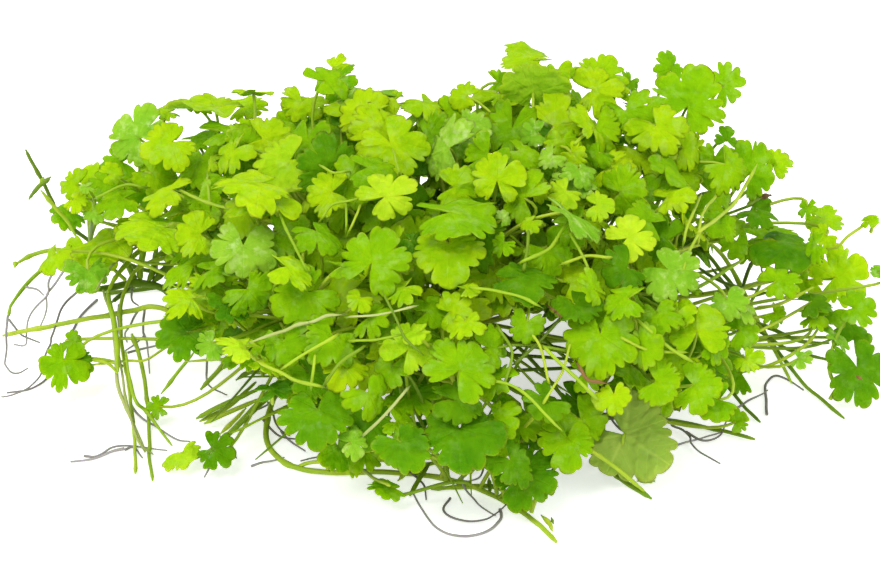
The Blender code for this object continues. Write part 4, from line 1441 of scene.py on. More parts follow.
def new_tree(name, kind, inputs, outputs):
    """A node group with named sockets, and the sockets that its insides start from and end in."""
    tree = bpy.data.node_groups.new(name, kind)
    for label, socket_type, default in inputs:
        made = tree.interface.new_socket(name=label, in_out="INPUT", socket_type=socket_type)
        if default is not None:
            made.default_value = default
    for label, socket_type in outputs:
        tree.interface.new_socket(name=label, in_out="OUTPUT", socket_type=socket_type)
    return tree, add(tree, "NodeGroupInput").outputs, add(tree, "NodeGroupOutput").inputs


def attribute(tree, name, data_type="FLOAT"):
    made = add(tree, "GeometryNodeInputNamedAttribute", {"Name": name}, data_type=data_type)
    return Reading(tree, made.outputs["Attribute"])


def lot(tree, ticket):
    """A number from 0 to 1 drawn by lot for each value of the ticket."""
    drawn = add(tree, "ShaderNodeTexWhiteNoise", {"W": ticket}, noise_dimensions="1D")
    return Reading(tree, drawn.outputs["Value"])


def stored(tree, geometry, name, value, domain="POINT"):
    made = add(tree, "GeometryNodeStoreNamedAttribute", {"Geometry": geometry, "Name": name, "Value": value},
               data_type="FLOAT", domain=domain)
    return made.outputs["Geometry"]


def joined(tree, *geometries):
    made = tree.nodes.new("GeometryNodeJoinGeometry")
    for geometry in geometries:
        tree.links.new(geometry, made.inputs["Geometry"])
    return made.outputs["Geometry"]


def rod_tree():
    """Round rods along curves, as thick as each curve point's radius."""
    tree, given, result = new_tree(
        "Rods", "GeometryNodeTree",
        [("Geometry", "NodeSocketGeometry", None), ("Sides", "NodeSocketInt", 7),
         ("Wobble", "NodeSocketFloat", 0.0), ("Wobble Scale", "NodeSocketFloat", 160.0),
         ("Seed", "NodeSocketInt", 1), ("Material", "NodeSocketMaterial", None)],
        [("Geometry", "NodeSocketGeometry")])
    place = add(tree, "GeometryNodeInputPosition").outputs[0]
    grain = add(tree, "ShaderNodeTexNoise", {"Vector": place, "Scale": given["Wobble Scale"], "Detail": 1.0})
    off = add(tree, "ShaderNodeVectorMath", {
        "Vector": grain.outputs["Color"], "Vector_001": (-0.5, -0.5, -0.5)})
    off = add(tree, "ShaderNodeVectorMath", {
        "Vector": off.outputs[0], "Scale": given["Wobble"]}, operation="SCALE")
    moved = add(tree, "GeometryNodeSetPosition", {"Geometry": given["Geometry"], "Offset": off.outputs[0]})
    length = add(tree, "GeometryNodeSplineParameter").outputs["Length"]
    along = stored(tree, moved.outputs[0], "along", length)
    chance = add(tree, "FunctionNodeRandomValue", {"Min_001": 0.0, "Max_001": 1.0, "Seed": given["Seed"]})
    tinted = stored(tree, along, "tint", socket_of(chance.outputs, "Value_001"), "CURVE")
    marked = stored(tree, tinted, "rod", 1.0)
    ring = add(tree, "GeometryNodeCurvePrimitiveCircle", {"Resolution": given["Sides"], "Radius": 1.0})
    radius = add(tree, "GeometryNodeInputRadius").outputs[0]
    rods = add(tree, "GeometryNodeCurveToMesh", {
        "Curve": marked, "Profile Curve": ring.outputs["Curve"], "Scale": radius, "Fill Caps": True})
    smooth = add(tree, "GeometryNodeSetShadeSmooth", {"Geometry": rods.outputs[0]})
    real = add(tree, "GeometryNodeRealizeInstances", {"Geometry": smooth.outputs[0]})
    done = add(tree, "GeometryNodeSetMaterial", {"Geometry": real.outputs[0], "Material": given["Material"]})
    tree.links.new(done.outputs[0], result["Geometry"])
    return tree


def leaf_tree(rods):
    """Lobed blades, one at each point and shaped by the point's own attributes, and the stalks of a curve."""
    tree, given, result = new_tree(
        "Lobed Leaves", "GeometryNodeTree",
        [("Geometry", "NodeSocketGeometry", None), ("Columns", "NodeSocketInt", 60),
         ("Rings", "NodeSocketInt", 8), ("Tooth Depth", "NodeSocketFloat", 0.1),
         ("Fold", "NodeSocketFloat", FOLD), ("Wave", "NodeSocketFloat", 0.06),
         ("Lobe Variety", "NodeSocketFloat", 0.16), ("Skew", "NodeSocketFloat", 0.1),
         ("Thickness", "NodeSocketFloat", 0.00024), ("Stalks", "NodeSocketObject", None),
         ("Stalk Sides", "NodeSocketInt", 6), ("Leaf Material", "NodeSocketMaterial", None),
         ("Side Leaf Material", "NodeSocketMaterial", None), ("Stalk Material", "NodeSocketMaterial", None)],
        [("Geometry", "NodeSocketGeometry")])
    columns, rings = Reading(tree, given["Columns"]), Reading(tree, given["Rings"])
    grid = add(tree, "GeometryNodeMeshGrid", {
        "Size X": 1.0, "Size Y": 1.0, "Vertices X": columns + 1, "Vertices Y": rings + 1})
    parted = add(tree, "ShaderNodeSeparateXYZ", {"Vector": add(tree, "GeometryNodeInputPosition").outputs[0]})
    outwards = 1 - (1 - (Reading(tree, parted.outputs["Y"]) + 0.5)).most(0).power(RING_CROWDING)
    sheet = stored(tree, grid.outputs["Mesh"], "around", Reading(tree, parted.outputs["X"]) + 0.5)
    sheet = stored(tree, sheet, "rim_share", outwards)
    spread = add(tree, "GeometryNodeInstanceOnPoints", {"Points": given["Geometry"], "Instance": sheet})
    sheets = add(tree, "GeometryNodeRealizeInstances", {"Geometry": spread.outputs[0]}).outputs[0]

    around, out = attribute(tree, "around"), attribute(tree, "rim_share")
    lobes, radius, seed = attribute(tree, "lobes"), attribute(tree, "radius"), attribute(tree, "seed")
    at = around * lobes
    lobe = (at + ROUNDING).using("FLOOR").least(lobes - 1)
    share = (at - lobe) * 2 - 1
    half = share.using("ABSOLUTE")
    middle = (lobes - 1) / 2
    bulged = share + (share * math.pi).using("SINE") * LOBE_BULGE
    angle = (lobe - middle + bulged / 2) * (math.tau - attribute(tree, "gap")) / lobes
    drawn = seed * SKEW_DRAW
    angle = angle + ((angle * 2 + drawn).using("SINE") - drawn.using("SINE")) * given["Skew"]
    rearness = (lobe - middle).using("ABSOLUTE") / middle
    at_back = (at - lobes / 2).using("ABSOLUTE").using("GREATER_THAN", (lobes - 1) / 2)
    uneven = lot(tree, (at + 0.5).using("FLOOR") * CUT_DRAWS[0] + seed * CUT_DRAWS[1]) - 0.5
    uneven = uneven * given["Lobe Variety"] * 2 + 1
    cut = (attribute(tree, "cut") * uneven).most(at_back * BACK_CUT)
    variety = lot(tree, lobe * LENGTH_DRAWS[0] + seed * LENGTH_DRAWS[1]) - 0.5
    variety = variety * given["Lobe Variety"] * (1 - half * half)
    length = (1 - rearness * rearness * (1 - REAR_LOBE_LENGTH)) * (variety + 1)
    tooth = (share + 1) / 2 * attribute(tree, "teeth")
    phase = tooth.using("FRACT")
    scallop = (phase * (1 - phase) * 4).most(0).power(TOOTH_ROUNDNESS)
    drawn = (tooth + 0.5).using("FLOOR") + lobe * NOTCH_DRAWS[0] + seed * NOTCH_DRAWS[1]
    notch = lot(tree, drawn) * NOTCH_SPREAD + LEAST_NOTCH
    toothed = 1 - (1 - scallop) * notch * given["Tooth Depth"]
    reach = radius * length * (1 - cut * half.power(SHOWN_SQUARENESS)) * toothed
    flat = out * reach
    stretch = attribute(tree, "stretch")
    side_way, tip_way = flat * angle.using("SINE") / stretch, flat * angle.using("COSINE") * stretch
    ripple = (angle * BROAD_RIPPLES + seed * RIPPLE_DRAWS[0]).using("SINE") * out * out
    fine = (angle * FINE_RIPPLES + seed * RIPPLE_DRAWS[1]).using("SINE")
    ripple = ripple + fine * out * out * out * FINE_RIPPLE_SHARE
    soft = half * half * (3 - half * 2)
    height = flat * soft * out * given["Fold"] - attribute(tree, "droop") * flat * flat / radius
    height = height + ripple * radius * given["Wave"]
    from_edge = (around.least(1 - around) * columns).least(1)
    swell = (((1 - out) * THINNING).least(1) * from_edge).most(0).power(0.5) * given["Thickness"] / 2

    def layer(sign):
        """The blade's sheet pushed out to one side."""
        ways = zip(("side", "tip", "face"), (side_way, tip_way, height + swell * sign))
        place = attribute(tree, "heart", "FLOAT_VECTOR").socket
        for name, way in ways:
            axis = attribute(tree, name, "FLOAT_VECTOR")
            step = add(tree, "ShaderNodeVectorMath", {"Vector": axis, "Scale": way}, operation="SCALE")
            place = add(tree, "ShaderNodeVectorMath", {"Vector": place, "Vector_001": step.outputs[0]})
            place = place.outputs[0]
        pushed = add(tree, "GeometryNodeSetPosition", {"Geometry": sheets, "Position": place}).outputs[0]
        return stored(tree, pushed, "under", 0.0 if sign > 0 else 1.0)

    lower = add(tree, "GeometryNodeFlipFaces", {"Mesh": layer(-1)}).outputs[0]
    blades = stored(tree, joined(tree, layer(1), lower), "lobe_share", half)
    whole = add(tree, "GeometryNodeMergeByDistance", {"Geometry": blades, "Distance": WELD})
    smooth = add(tree, "GeometryNodeSetShadeSmooth", {"Geometry": whole.outputs[0]})
    stalks = add(tree, "GeometryNodeObjectInfo", {"Object": given["Stalks"]}, transform_space="ORIGINAL")
    rod = add(tree, "GeometryNodeGroup", node_tree=rods)
    feed(tree, rod.inputs["Geometry"], stalks.outputs["Geometry"])
    feed(tree, rod.inputs["Sides"], given["Stalk Sides"])
    feed(tree, rod.inputs["Material"], given["Stalk Material"])
    everything = joined(tree, smooth.outputs[0], rod.outputs[0])
    real = add(tree, "GeometryNodeRealizeInstances", {"Geometry": everything}).outputs[0]
    first = attribute(tree, "rod").using("LESS_THAN", 0.5)
    green = add(tree, "GeometryNodeSetMaterial", {
        "Geometry": real, "Selection": first, "Material": given["Leaf Material"]}).outputs[0]
    second = attribute(tree, "second").using("GREATER_THAN", 0.5)
    done = add(tree, "GeometryNodeSetMaterial", {
        "Geometry": green, "Selection": second, "Material": given["Side Leaf Material"]}).outputs[0]
    tree.links.new(done, result["Geometry"])
    return tree


def tree_named(name):
    """The node tree of that name, made when first asked for."""
    made = bpy.data.node_groups.get(name)
    if made is None:
        made = rod_tree() if name == "Rods" else leaf_tree(tree_named("Rods"))
    return made


def grown(source, tree, values, name):
    """The plain mesh object that the node tree makes of the source, which is then removed."""
    form = source.modifiers.new("form", "NODES")
    form.node_group = tree
    for item in tree.interface.items_tree:
        if item.in_out == "INPUT" and item.name in values:
            form[item.identifier] = values[item.name]
    graph = bpy.context.evaluated_depsgraph_get()
    mesh = bpy.data.meshes.new_from_object(
        source.evaluated_get(graph), preserve_all_data_layers=True, depsgraph=graph)
    mesh.name = name
    bpy.data.objects.remove(source)
    faces = bmesh.new()
    faces.from_mesh(mesh)
    bmesh.ops.recalc_face_normals(faces, faces=faces.faces)
    faces.to_mesh(mesh)
    faces.free()
    if not mesh.polygons:
        raise RuntimeError(f"{name} came out empty")
    for key in WORKING_ATTRIBUTES:
        if key in mesh.attributes:
            mesh.attributes.remove(mesh.attributes[key])
    made = bpy.data.objects.new(name, mesh)
    bpy.context.scene.collection.objects.link(made)
    return made


def rod_curves(name, rods, middle):
    """A curve object with a spline for each rod, given as its points and a radius at each, in millimetres."""
    curve = bpy.data.curves.new(name, "CURVE")
    curve.dimensions = "3D"
    for points, radii in rods:
        spline = curve.splines.new("POLY")
        spline.points.add(len(points) - 1)
        places = (np.array([tuple(p) for p in points]) - np.array(middle)) * MM
        spline.points.foreach_set("co", np.column_stack([places, np.ones(len(points))]).ravel())
        spline.points.foreach_set("radius", np.asarray(radii, float) * MM)
    made = bpy.data.objects.new(name, curve)
    bpy.context.scene.collection.objects.link(made)
    return made


def leaf_points(name, sprigs, middle):
    """A point for each leaf, with the attributes that its blade is shaped by."""
    mesh = bpy.data.meshes.new(name)
    hearts = (np.array([tuple(s.heart) for s in sprigs]) - np.array(middle)) * MM
    mesh.from_pydata(hearts.tolist(), [], [])
    axes = [leaf_axes(s.leaf) for s in sprigs]
    sides, tips, faces = zip(*axes)
    vectors = {"heart": hearts, "side": sides, "tip": tips, "face": faces}
    for key, rows in vectors.items():
        layer = mesh.attributes.new(key, "FLOAT_VECTOR", "POINT")
        layer.data.foreach_set("vector", np.array([tuple(v) for v in rows], float).ravel())
    chances = [leaf_chance(s.leaf) for s in sprigs]
    numbers = {
        "lobes": [s.leaf.lobes for s in sprigs], "cut": [s.leaf.cut for s in sprigs],
        "droop": [s.leaf.droop for s in sprigs], "radius": [s.leaf.width / 2 * MM for s in sprigs],
        "teeth": [teeth_of(s.leaf) for s in sprigs], "seed": chances,
        "gap": [back_gap(s.leaf) for s in sprigs], "stretch": [stretch_of(s.leaf) for s in sprigs],
        "tint": [(TINT_DRAW * c) % 1 for c in chances], "second": [float(i > 0) for i in range(len(sprigs))]}
    for key, values in numbers.items():
        mesh.attributes.new(key, "FLOAT", "POINT").data.foreach_set("value", np.array(values, float))
    made = bpy.data.objects.new(name, mesh)
    bpy.context.scene.collection.objects.link(made)
    return made


def teeth_of(leaf):
    """How many teeth each lobe has: more where the lobes are few or the leaf is large."""
    if leaf.lobes == 3:
        return 4
    return 2 if leaf.width < LARGE_LEAF else 3


def back_gap(leaf):
    """The angle left open between a leaf's rear lobes: wider in many of the extra ones, as in a fan."""
    if leaf.name.startswith("leaf"):
        return math.radians(BACK_GAP_DEG)
    widest = WIDEST_GAP.get(leaf.lobes, USUAL_WIDEST_GAP)
    return math.radians(BACK_GAP_DEG + (widest - BACK_GAP_DEG) * ((GAP_DRAW * leaf_chance(leaf)) % 1))


def stretch_of(leaf):
    """How much longer an extra leaf is than it is wide."""
    if leaf.name.startswith("leaf"):
        return 1.0
    return STRETCH_SPAN[0] + STRETCH_SPAN[1] * ((STRETCH_DRAW * leaf_chance(leaf)) % 1)


def leaf_chance(leaf):
    """A number from 0 to 1 that is a leaf's own."""
    across, up, scale = LEAF_DRAWS
    return math.modf(abs(math.sin(leaf.across * across + leaf.up * up + leaf.bearing) * scale))[0]


def tapered(count, thick, thin):
    return np.linspace(thick, thin, count)


def pointed(count, thin_end):
    """Shares of a strand's radius that fall off to thin_end at both ends."""
    along = np.linspace(0, 1, count)
    return np.clip(np.minimum(along, 1 - along) / POINTED_OVER, thin_end, 1)


def noded(points, radius, spacing, chance):
    """Radii of a creeping stem that swells a little at its nodes and thins to its ends."""
    steps = [0.0]
    for a, b in zip(points, points[1:]):
        steps.append(steps[-1] + (b - a).length)
    along = np.array(steps)
    swelling = np.exp(-(((along + chance * spacing) % spacing - spacing / 2) / NODE_LENGTH) ** 2)
    taper = np.clip(np.minimum(along, along[-1] - along) / (2 * radius), STEM_END_SHARE, 1)
    return radius * (1 + NODE_SWELLING * swelling) * taper


def leaf_piece(name, sprigs, same_finish, detail=LEAF_DETAIL):
    """Leaves grown as one mesh: their blades and stalks."""
    leafy, middle = bpy.context.scene.pennywort_leaves, clump()["middle"]
    radii = leafy.stalk_radius / MM, leafy.stalk_radius * STALK_TIP_SHARE / MM
    stalks = [(s.stalk, tapered(len(s.stalk), *radii)) for s in sprigs]
    curves = rod_curves(name + "_stalks", stalks, middle)
    points = leaf_points(name + "_points", sprigs, middle)
    large = max(s.leaf.width for s in sprigs) > LARGE_LEAF and len(sprigs) < 3
    columns, rings = LARGE_LEAF_DETAIL if large else detail
    tones = [s.leaf.tone for s in sprigs]
    made = grown(points, tree_named("Lobed Leaves"), {
        "Columns": columns, "Rings": rings, "Tooth Depth": leafy.tooth_depth, "Fold": leafy.fold,
        "Wave": leafy.wave, "Lobe Variety": leafy.lobe_variety, "Skew": leafy.skew,
        "Thickness": leafy.thickness, "Stalks": curves, "Stalk Sides": STALK_SIDES[large],
        "Leaf Material": leaf_material(tones[0]),
        "Side Leaf Material": leaf_material(tones[0] if same_finish else tones[-1]),
        "Stalk Material": rod_material("stem", STEM_TONES["stem"])}, name)
    bpy.data.objects.remove(curves)
    return made


def rod_piece(name, rods, form, material):
    """Rods grown as one mesh, with that many sides and that wobble."""
    sides, wobble = form
    seed = sum(map(ord, name))
    curves = rod_curves(name + "_path", rods, clump()["middle"])
    return grown(curves, tree_named("Rods"), {
        "Sides": sides, "Wobble": wobble, "Seed": seed, "Material": material}, name)


def noise(tree, place, form):
    """Noise at a place, with its scale, detail and roughness."""
    return Reading(tree, add(tree, "ShaderNodeTexNoise", {"Vector": place, **form}).outputs["Fac"])


def spanned(tree, value, span):
    """The value spread over 0 to 1 from the part of its range that a span gives."""
    made = add(tree, "ShaderNodeMapRange", {"Value": value, "From Min": span[0], "From Max": span[1]})
    return Reading(tree, made.outputs[0])


def marks_group():
    """Veins, quilting and wet patches of a blade, as masks and a height."""
    tree, given, result = new_tree(
        "Blade Marks", "ShaderNodeTree",
        [("Lobe Share", "NodeSocketFloat", 0.5), ("Rim Share", "NodeSocketFloat", 0.5),
         ("Place", "NodeSocketVector", None), ("Vein Width", "NodeSocketFloat", 0.05)],
        [("Veins", "NodeSocketFloat"), ("Mottle", "NodeSocketFloat"), ("Wet", "NodeSocketFloat"),
         ("Height", "NodeSocketFloat")])
    half, out = Reading(tree, given["Lobe Share"]), Reading(tree, given["Rim Share"])
    aside = half * out
    width = Reading(tree, given["Vein Width"]) * (VEIN_TAPER - out)
    main = (1 - aside / width).most(0)
    branch = ((out * BRANCH_VEINS - aside * BRANCH_SLANT).using("FRACT") - 0.5).using("ABSOLUTE")
    branches = (1 - branch * BRANCH_NARROWNESS).most(0) * (aside * BRANCH_START).least(1)
    veins = (main + branches * BRANCH_SHARE).least(1)
    forms = BROAD_NOISE, QUILT_NOISE, FILM_NOISE
    broad, quilt, film = (noise(tree, given["Place"], form) for form in forms)
    height = quilt * QUILT_HEIGHT + broad * BROAD_HEIGHT - veins * VEIN_SINKING
    speckle = broad * BROAD_SHARE + quilt * QUILT_SHARE
    marks = {"Veins": veins, "Mottle": spanned(tree, speckle, MOTTLE_SPAN),
             "Wet": spanned(tree, film, WET_SPAN), "Height": height}
    for label, value in marks.items():
        feed(tree, result[label], value)
    return tree


def new_material(name):
    """An empty material of that name, its node tree and its Principled shader."""
    made = bpy.data.materials.new(name)
    made.use_nodes = True
    return made, made.node_tree, made.node_tree.nodes["Principled BSDF"]


def mixed(tree, factor, a, b):
    made = add(tree, "ShaderNodeMix", {"Factor_Float": factor}, data_type="RGBA")
    for key, value in (("A_Color", a), ("B_Color", b)):
        feed(tree, socket_of(made.inputs, key), (*value, 1) if isinstance(value, tuple) else value)
    return socket_of(made.outputs, "Result_Color")


def own(tree, name):
    """The piece's own attribute of that name."""
    return Reading(tree, add(tree, "ShaderNodeAttribute", attribute_name=name).outputs["Fac"])


def surface(tree, shader, sheen, glow, bump):
    """Sets what blades and rods both have: a sheen, light that passes through, and a bump."""
    labels = ("Specular IOR Level", "Subsurface Weight", "Subsurface Radius", "Subsurface Scale")
    for label, value in zip(labels, (sheen, *glow)):
        shader.inputs[label].default_value = value
    feed(tree, shader.inputs["Normal"], add(tree, "ShaderNodeBump", bump).outputs[0])


def leaf_material(tone):
    """A blade: green that varies, painted shade at the rim, lighter veins, a paler underside, and glossier
    wet patches with a painted sheen.
    """
    name = "look_" + tone
    if name in bpy.data.materials:
        return bpy.data.materials[name]
    deep, bright, under, roughness = LEAF_TONES[tone]
    material, tree, shader = new_material(name)
    marks_tree = bpy.data.node_groups.get("Blade Marks") or marks_group()
    marks = add(tree, "ShaderNodeGroup", node_tree=marks_tree)
    feed(tree, marks.inputs["Lobe Share"], own(tree, "lobe_share"))
    feed(tree, marks.inputs["Rim Share"], own(tree, "rim_share"))
    feed(tree, marks.inputs["Place"], add(tree, "ShaderNodeTexCoord").outputs["Object"])
    marks.inputs["Vein Width"].default_value = VEIN_WIDTHS.get(tone, USUAL_VEIN_WIDTH)
    mottle, veins, wet = (Reading(tree, marks.outputs[key]) for key in ("Mottle", "Veins", "Wet"))
    # Painted shade: darker towards the rim
    rim = own(tree, "rim_share").power(RIM_NARROWNESS) * RIM_SHADE
    share = (mottle * MOTTLE_SHARE + own(tree, "tint") * TINT_SHARE - BLADE_DEPTH - rim).most(0).least(1)
    body = mixed(tree, share, deep, bright)
    # A painted sheen: the green is paled in the wet patches
    body = mixed(tree, wet * PAINTED_SHEEN_SHARES.get(tone, OTHER_PAINTED_SHEEN), body, PAINTED_SHEEN)
    sided = mixed(tree, own(tree, "under"), body, mixed(tree, mottle * 0.5, under, bright))
    vein_tone = tuple(min(1, VEIN_LIGHTNESS * c) for c in bright)
    veined = mixed(tree, veins * VEIN_SHARES.get(tone, USUAL_VEIN_SHARE), sided, vein_tone)
    feed(tree, shader.inputs["Base Color"], veined)
    feed(tree, shader.inputs["Roughness"], wet * WET_POLISH + roughness + DRY_ROUGHNESS)
    feed(tree, shader.inputs["Coat Weight"], wet * WET_COAT.get(tone, OTHER_COAT))
    shader.inputs["Coat Roughness"].default_value = COAT_ROUGHNESS
    surface(tree, shader, SHEEN, BLADE_GLOW, {"Height": marks.outputs["Height"], **BLADE_BUMP})
    return material


def rod_material(slot, tone):
    """Stems, stalks and roots: a colour that runs along each and differs from one to the next."""
    name = "look_" + slot
    if name in bpy.data.materials:
        return bpy.data.materials[name]
    deep, bright, dark, roughness = tone
    material, tree, shader = new_material(name)
    streaks = noise(tree, add(tree, "ShaderNodeTexCoord").outputs["Object"], STREAK_NOISE)
    streaked = spanned(tree, streaks, STREAK_SPAN) * STREAK_SHARE
    share = (streaked + own(tree, "tint") * ROD_TINT_SHARE - ROD_DEPTH).most(0).least(1)
    body = mixed(tree, share, deep, bright)
    darkness = (1 - own(tree, "tint") * 3).most(0) * 0.5
    feed(tree, shader.inputs["Base Color"], mixed(tree, darkness, body, dark))
    shader.inputs["Roughness"].default_value = roughness
    surface(tree, shader, STEM_SHEEN, ROD_GLOW, {"Height": streaks, **ROD_BUMP})
    return material


def stands(piece, slot, *nodes):
    """Hands a finished piece over: it belongs to the body, and may stand for solids; the slot is not used."""
    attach(piece, "root")
    if nodes:
        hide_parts(*nodes)


class PennywortGrowth(bpy.types.PropertyGroup):
    """How many small pieces grow besides the ones that are listed."""

    seed: bpy.props.IntProperty(
        name="Seed", description="Which draw of leaves, stems and roots", default=7, min=0)
    back_leaves: bpy.props.IntProperty(
        name="Back leaves", description="Extra leaves at the sides and the back", default=95, min=0)
    canopy_leaves: bpy.props.IntProperty(
        name="Canopy leaves", description="Extra leaves just under the top ones", default=185, min=0)
    inner_leaves: bpy.props.IntProperty(
        name="Inner leaves", description="Extra leaves in the shade inside", default=140, min=0)
    inner_stems: bpy.props.IntProperty(
        name="Inner stems", description="Thin stems that cross the inside", default=34, min=0)
    inner_roots: bpy.props.IntProperty(
        name="Inner roots", description="Thread roots that wander under the clump", default=36, min=0)


class PennywortLeaves(bpy.types.PropertyGroup):
    """The form of the blades and their stalks."""

    tooth_depth: bpy.props.FloatProperty(
        name="Tooth depth", description="How deep the notches between teeth are, over the blade's radius",
        default=0.13, min=0, max=0.4)
    fold: bpy.props.FloatProperty(
        name="Fold", description="How far each lobe folds up beside its vein", default=FOLD, min=0, max=0.5)
    wave: bpy.props.FloatProperty(
        name="Wave", description="How far the rim waves, over the blade's radius", default=0.1, min=0,
        max=0.5)
    lobe_variety: bpy.props.FloatProperty(
        name="Lobe variety", description="How much the lobes of a leaf differ in length", default=0.32, min=0,
        max=1)
    skew: bpy.props.FloatProperty(
        name="Skew", description="How unevenly the lobes are spread round a leaf", default=0.15, min=0,
        max=0.4)
    thickness: bpy.props.FloatProperty(
        name="Thickness", description="Thickness of a blade", default=0.00024, min=0.00005, max=0.002,
        unit="LENGTH", subtype="DISTANCE")
    stalk_radius: bpy.props.FloatProperty(
        name="Stalk radius", description="Radius of a stalk at its foot", default=0.00036, min=0.0001,
        max=0.002, unit="LENGTH", subtype="DISTANCE")


class PennywortStage(bpy.types.PropertyGroup):
    """Floor, light and camera."""

    floor_size: bpy.props.FloatProperty(
        name="Floor size", description="Width of the floor", default=6.0, min=0.5, unit="LENGTH",
        subtype="DISTANCE")
    key_power: bpy.props.FloatProperty(
        name="Key power", description="Power of the main light", default=7.0, min=0)
    floor_glow: bpy.props.FloatProperty(
        name="Floor glow", description="Light that the floor itself gives off", default=0.28, min=0)
    floor_lift: bpy.props.FloatProperty(
        name="Floor lift", description="How much lighter the floor looks than it shines", default=0.3, min=0)
    sky: bpy.props.FloatProperty(
        name="Sky", description="Strength of the even light all round", default=0.85, min=0)


class PENNYWORT_OT_leaves(bpy.types.Operator):
    """Grow the listed leaves, each with its stalk and any leaf beside it"""

    bl_idname = "pennywort.leaves"
    bl_label = "Listed leaves"

    def execute(self, context):
        groups = {}
        for leaf, heart, stalk, host in clump()["placed"]:
            owner = host if host in groups else leaf.name
            groups.setdefault(owner, []).append(Sprig(leaf, heart, stalk))
        for owner, sprigs in groups.items():
            piece = leaf_piece(owner.replace("leaf", "lobed_leaf"), sprigs, False)
            stands(piece, sprigs[0].leaf.tone, owner)
        return {"FINISHED"}


class PENNYWORT_OT_extra_leaves(bpy.types.Operator):
    """Grow the leaves between, behind and under the listed ones"""

    bl_idname = "pennywort.extra_leaves"
    bl_label = "Extra leaves"

    def execute(self, context):
        extra = clump()["extra"]
        for tone in LEAN_TONES:
            shaded = [s for s in extra if s.leaf.tone == tone and s.leaf.name.startswith("inner")]
            sprigs = [s for s in extra if s.leaf.tone == tone and not s.leaf.name.startswith("inner")]
            for part, start in enumerate(range(0, len(sprigs), LEAVES_A_PIECE)):
                some = sprigs[start : start + LEAVES_A_PIECE]
                stands(leaf_piece(f"more_{tone}_leaves_{part + 1}", some, True), tone)
            if shaded:
                stands(leaf_piece(f"shaded_{tone}_leaves", shaded, True, SHADED_DETAIL), tone)
        return {"FINISHED"}


class PENNYWORT_OT_stems(bpy.types.Operator):
    """Grow the creeping stems and the thin ones"""

    bl_idname = "pennywort.stems"
    bl_label = "Stems"

    def execute(self, context):
        stem_material = rod_material("stem", STEM_TONES["stem"])
        for place, (name, points) in enumerate(clump()["stems"].items()):
            if name in SEEN_TIPS:
                left_out, heights, seen = SEEN_TIPS[name]
                points = [*strand_route(heights, seen)[::ROUTE_DETAIL], *points[left_out:]]
            route = smooth_route(points, ROUTE_DETAIL * len(points), STEM_RADIUS * HEX_FLAT + CREEPING_LIFT)
            radius = STEM_RADIUS * STEM_SHARES.get(name, USUAL_STEM_SHARE)
            radii = noded(route, radius, NODE_SPACING, place * NODE_CHANCE_STEP % 1)
            radii = radii * tapered(len(route), CREEPING_END_SHARE, 1)
            material = rod_material("creeping", STEM_TONES["deep"]) if name in DARK_STEMS else stem_material
            stands(rod_piece("creeping_" + name, [(route, radii)], CREEPING_ROD, material), "stem", name)
        for tone in ("light", "green", "deep", "dark", "pale", "brown"):
            thin = [(points, noded(points, radius, NODE_SPACING, radius) * pointed(len(points), thin_end))
                    for strand_tone, radius, thin_end, points in clump()["thin"] if strand_tone == tone]
            material = rod_material("strand_" + tone, STEM_TONES[tone])
            stands(rod_piece(f"thin_{tone}_stems", thin, THIN_ROD, material), "stem")
        return {"FINISHED"}


class PENNYWORT_OT_roots(bpy.types.Operator):
    """Grow the thread roots"""

    bl_idname = "pennywort.roots"
    bl_label = "Roots"

    def execute(self, context):
        material = rod_material("root", ROOT_TONE)
        for name, points in clump()["roots"].items():
            route = smooth_route(points, ROOT_ROUTE_DETAIL * len(points), ROOT_RADIUS)
            radii = tapered(len(route), *MAIN_ROOT_RADII)
            stands(rod_piece("thread_" + name, [(route, radii)], THIN_ROD, material), "root", name)
        threads = [(points, tapered(len(points), *THREAD_RADII)) for points in clump()["threads"]]
        stands(rod_piece("thread_roots", threads, THREAD_ROD, material), "root")
        return {"FINISHED"}


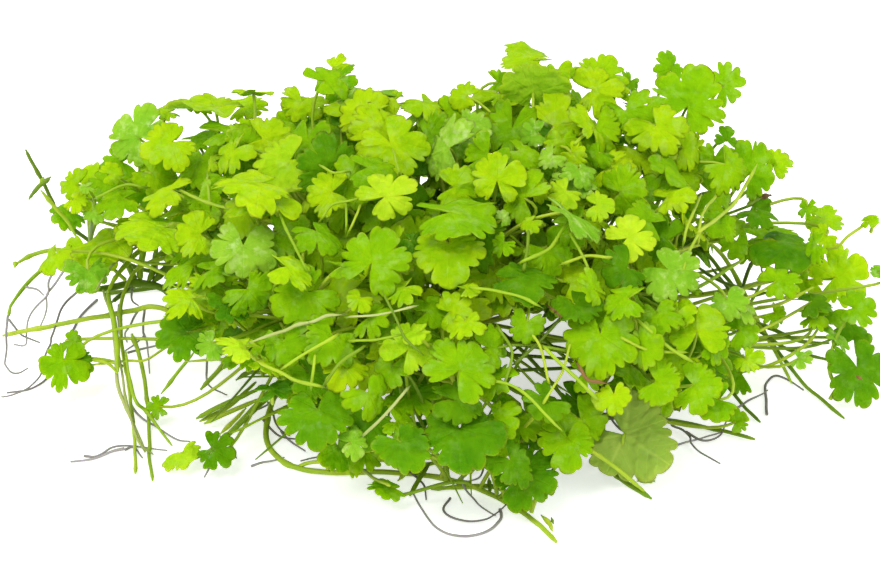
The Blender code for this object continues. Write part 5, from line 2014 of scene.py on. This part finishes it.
class PENNYWORT_OT_stage(bpy.types.Operator):
    """Set up the floor, the light and the camera"""

    bl_idname = "pennywort.stage"
    bl_label = "Stage"

    def execute(self, context):
        scene = context.scene
        setup = scene.pennywort_stage
        half = setup.floor_size / 2
        mesh = bpy.data.meshes.new("floor")
        corners = [(-half, -half, 0), (half, -half, 0), (half, half, 0), (-half, half, 0)]
        mesh.from_pydata(corners, [], [(0, 1, 2, 3)])
        floor = bpy.data.objects.new("floor", mesh)
        scene.collection.objects.link(floor)
        material, tree, shader = new_material("floor_white")
        shader.inputs["Base Color"].default_value = FLOOR_WHITE
        shader.inputs["Roughness"].default_value = FLOOR_ROUGHNESS
        shader.inputs["Specular IOR Level"].default_value = FLOOR_SHEEN
        shader.inputs["Emission Color"].default_value = WHITE
        seen = Reading(tree, add(tree, "ShaderNodeLightPath").outputs["Is Camera Ray"])
        feed(tree, shader.inputs["Emission Strength"], seen * setup.floor_lift + setup.floor_glow)
        mesh.materials.append(material)
        target = (SIGHT_CENTRE - clump()["middle"]) * MM
        towards = sight_axes(0)[2]
        lens = bpy.data.cameras.new("camera")
        lens.sensor_width = SENSOR_WIDTH
        lens.lens = SENSOR_WIDTH * EYE_DISTANCE / VIEW_WIDTH
        lens.clip_start = NEAREST_SEEN
        camera = bpy.data.objects.new("camera", lens)
        camera.location = target + towards * EYE_DISTANCE * MM
        camera.rotation_euler = (-towards).to_track_quat("-Z", "Y").to_euler()
        scene.collection.objects.link(camera)
        scene.camera = camera
        for name, place, size, power in LIGHTS:
            light = bpy.data.lights.new(name, "AREA")
            light.shape = "DISK"
            light.size = size
            light.energy = power * setup.key_power
            lamp = bpy.data.objects.new(name, light)
            lamp.location = place
            lamp.rotation_euler = (target - Vector(place)).to_track_quat("-Z", "Y").to_euler()
            scene.collection.objects.link(lamp)
        world = bpy.data.worlds.new("studio")
        world.use_nodes = True
        backdrop = world.node_tree.nodes["Background"]
        backdrop.inputs["Color"].default_value = WHITE
        backdrop.inputs["Strength"].default_value = setup.sky
        scene.world = world
        scene.view_settings.view_transform = "Standard"
        return {"FINISHED"}


class PENNYWORT_PT_panel(bpy.types.Panel):
    """The clump's settings and steps"""

    bl_label = "Pennywort Clump"
    bl_space_type = "VIEW_3D"
    bl_region_type = "UI"
    bl_category = "Pennywort"

    def draw(self, context):
        for settings in (context.scene.pennywort_growth, context.scene.pennywort_leaves,
                         context.scene.pennywort_stage):
            column = self.layout.column(align=True)
            for key in type(settings).__annotations__:
                column.prop(settings, key)
        for step in STEPS:
            self.layout.operator(step.bl_idname)


STEPS = (
    PENNYWORT_OT_leaves, PENNYWORT_OT_extra_leaves, PENNYWORT_OT_stems, PENNYWORT_OT_roots,
    PENNYWORT_OT_stage)
GROUPS = {
    "pennywort_growth": PennywortGrowth, "pennywort_leaves": PennywortLeaves,
    "pennywort_stage": PennywortStage}


def register():
    for kind in (*GROUPS.values(), *STEPS, PENNYWORT_PT_panel):
        bpy.utils.register_class(kind)
    for key, kind in GROUPS.items():
        setattr(bpy.types.Scene, key, bpy.props.PointerProperty(type=kind))


def unregister():
    for key in GROUPS:
        delattr(bpy.types.Scene, key)
    for kind in (PENNYWORT_PT_panel, *reversed(STEPS), *reversed(GROUPS.values())):
        bpy.utils.unregister_class(kind)


def main():
    register()
    for step in STEPS:
        area, name = step.bl_idname.split(".")
        if getattr(getattr(bpy.ops, area), name)() != {"FINISHED"}:
            raise RuntimeError(f"{step.bl_label} did not finish")
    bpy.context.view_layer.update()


if __name__ == "__main__":
    main()
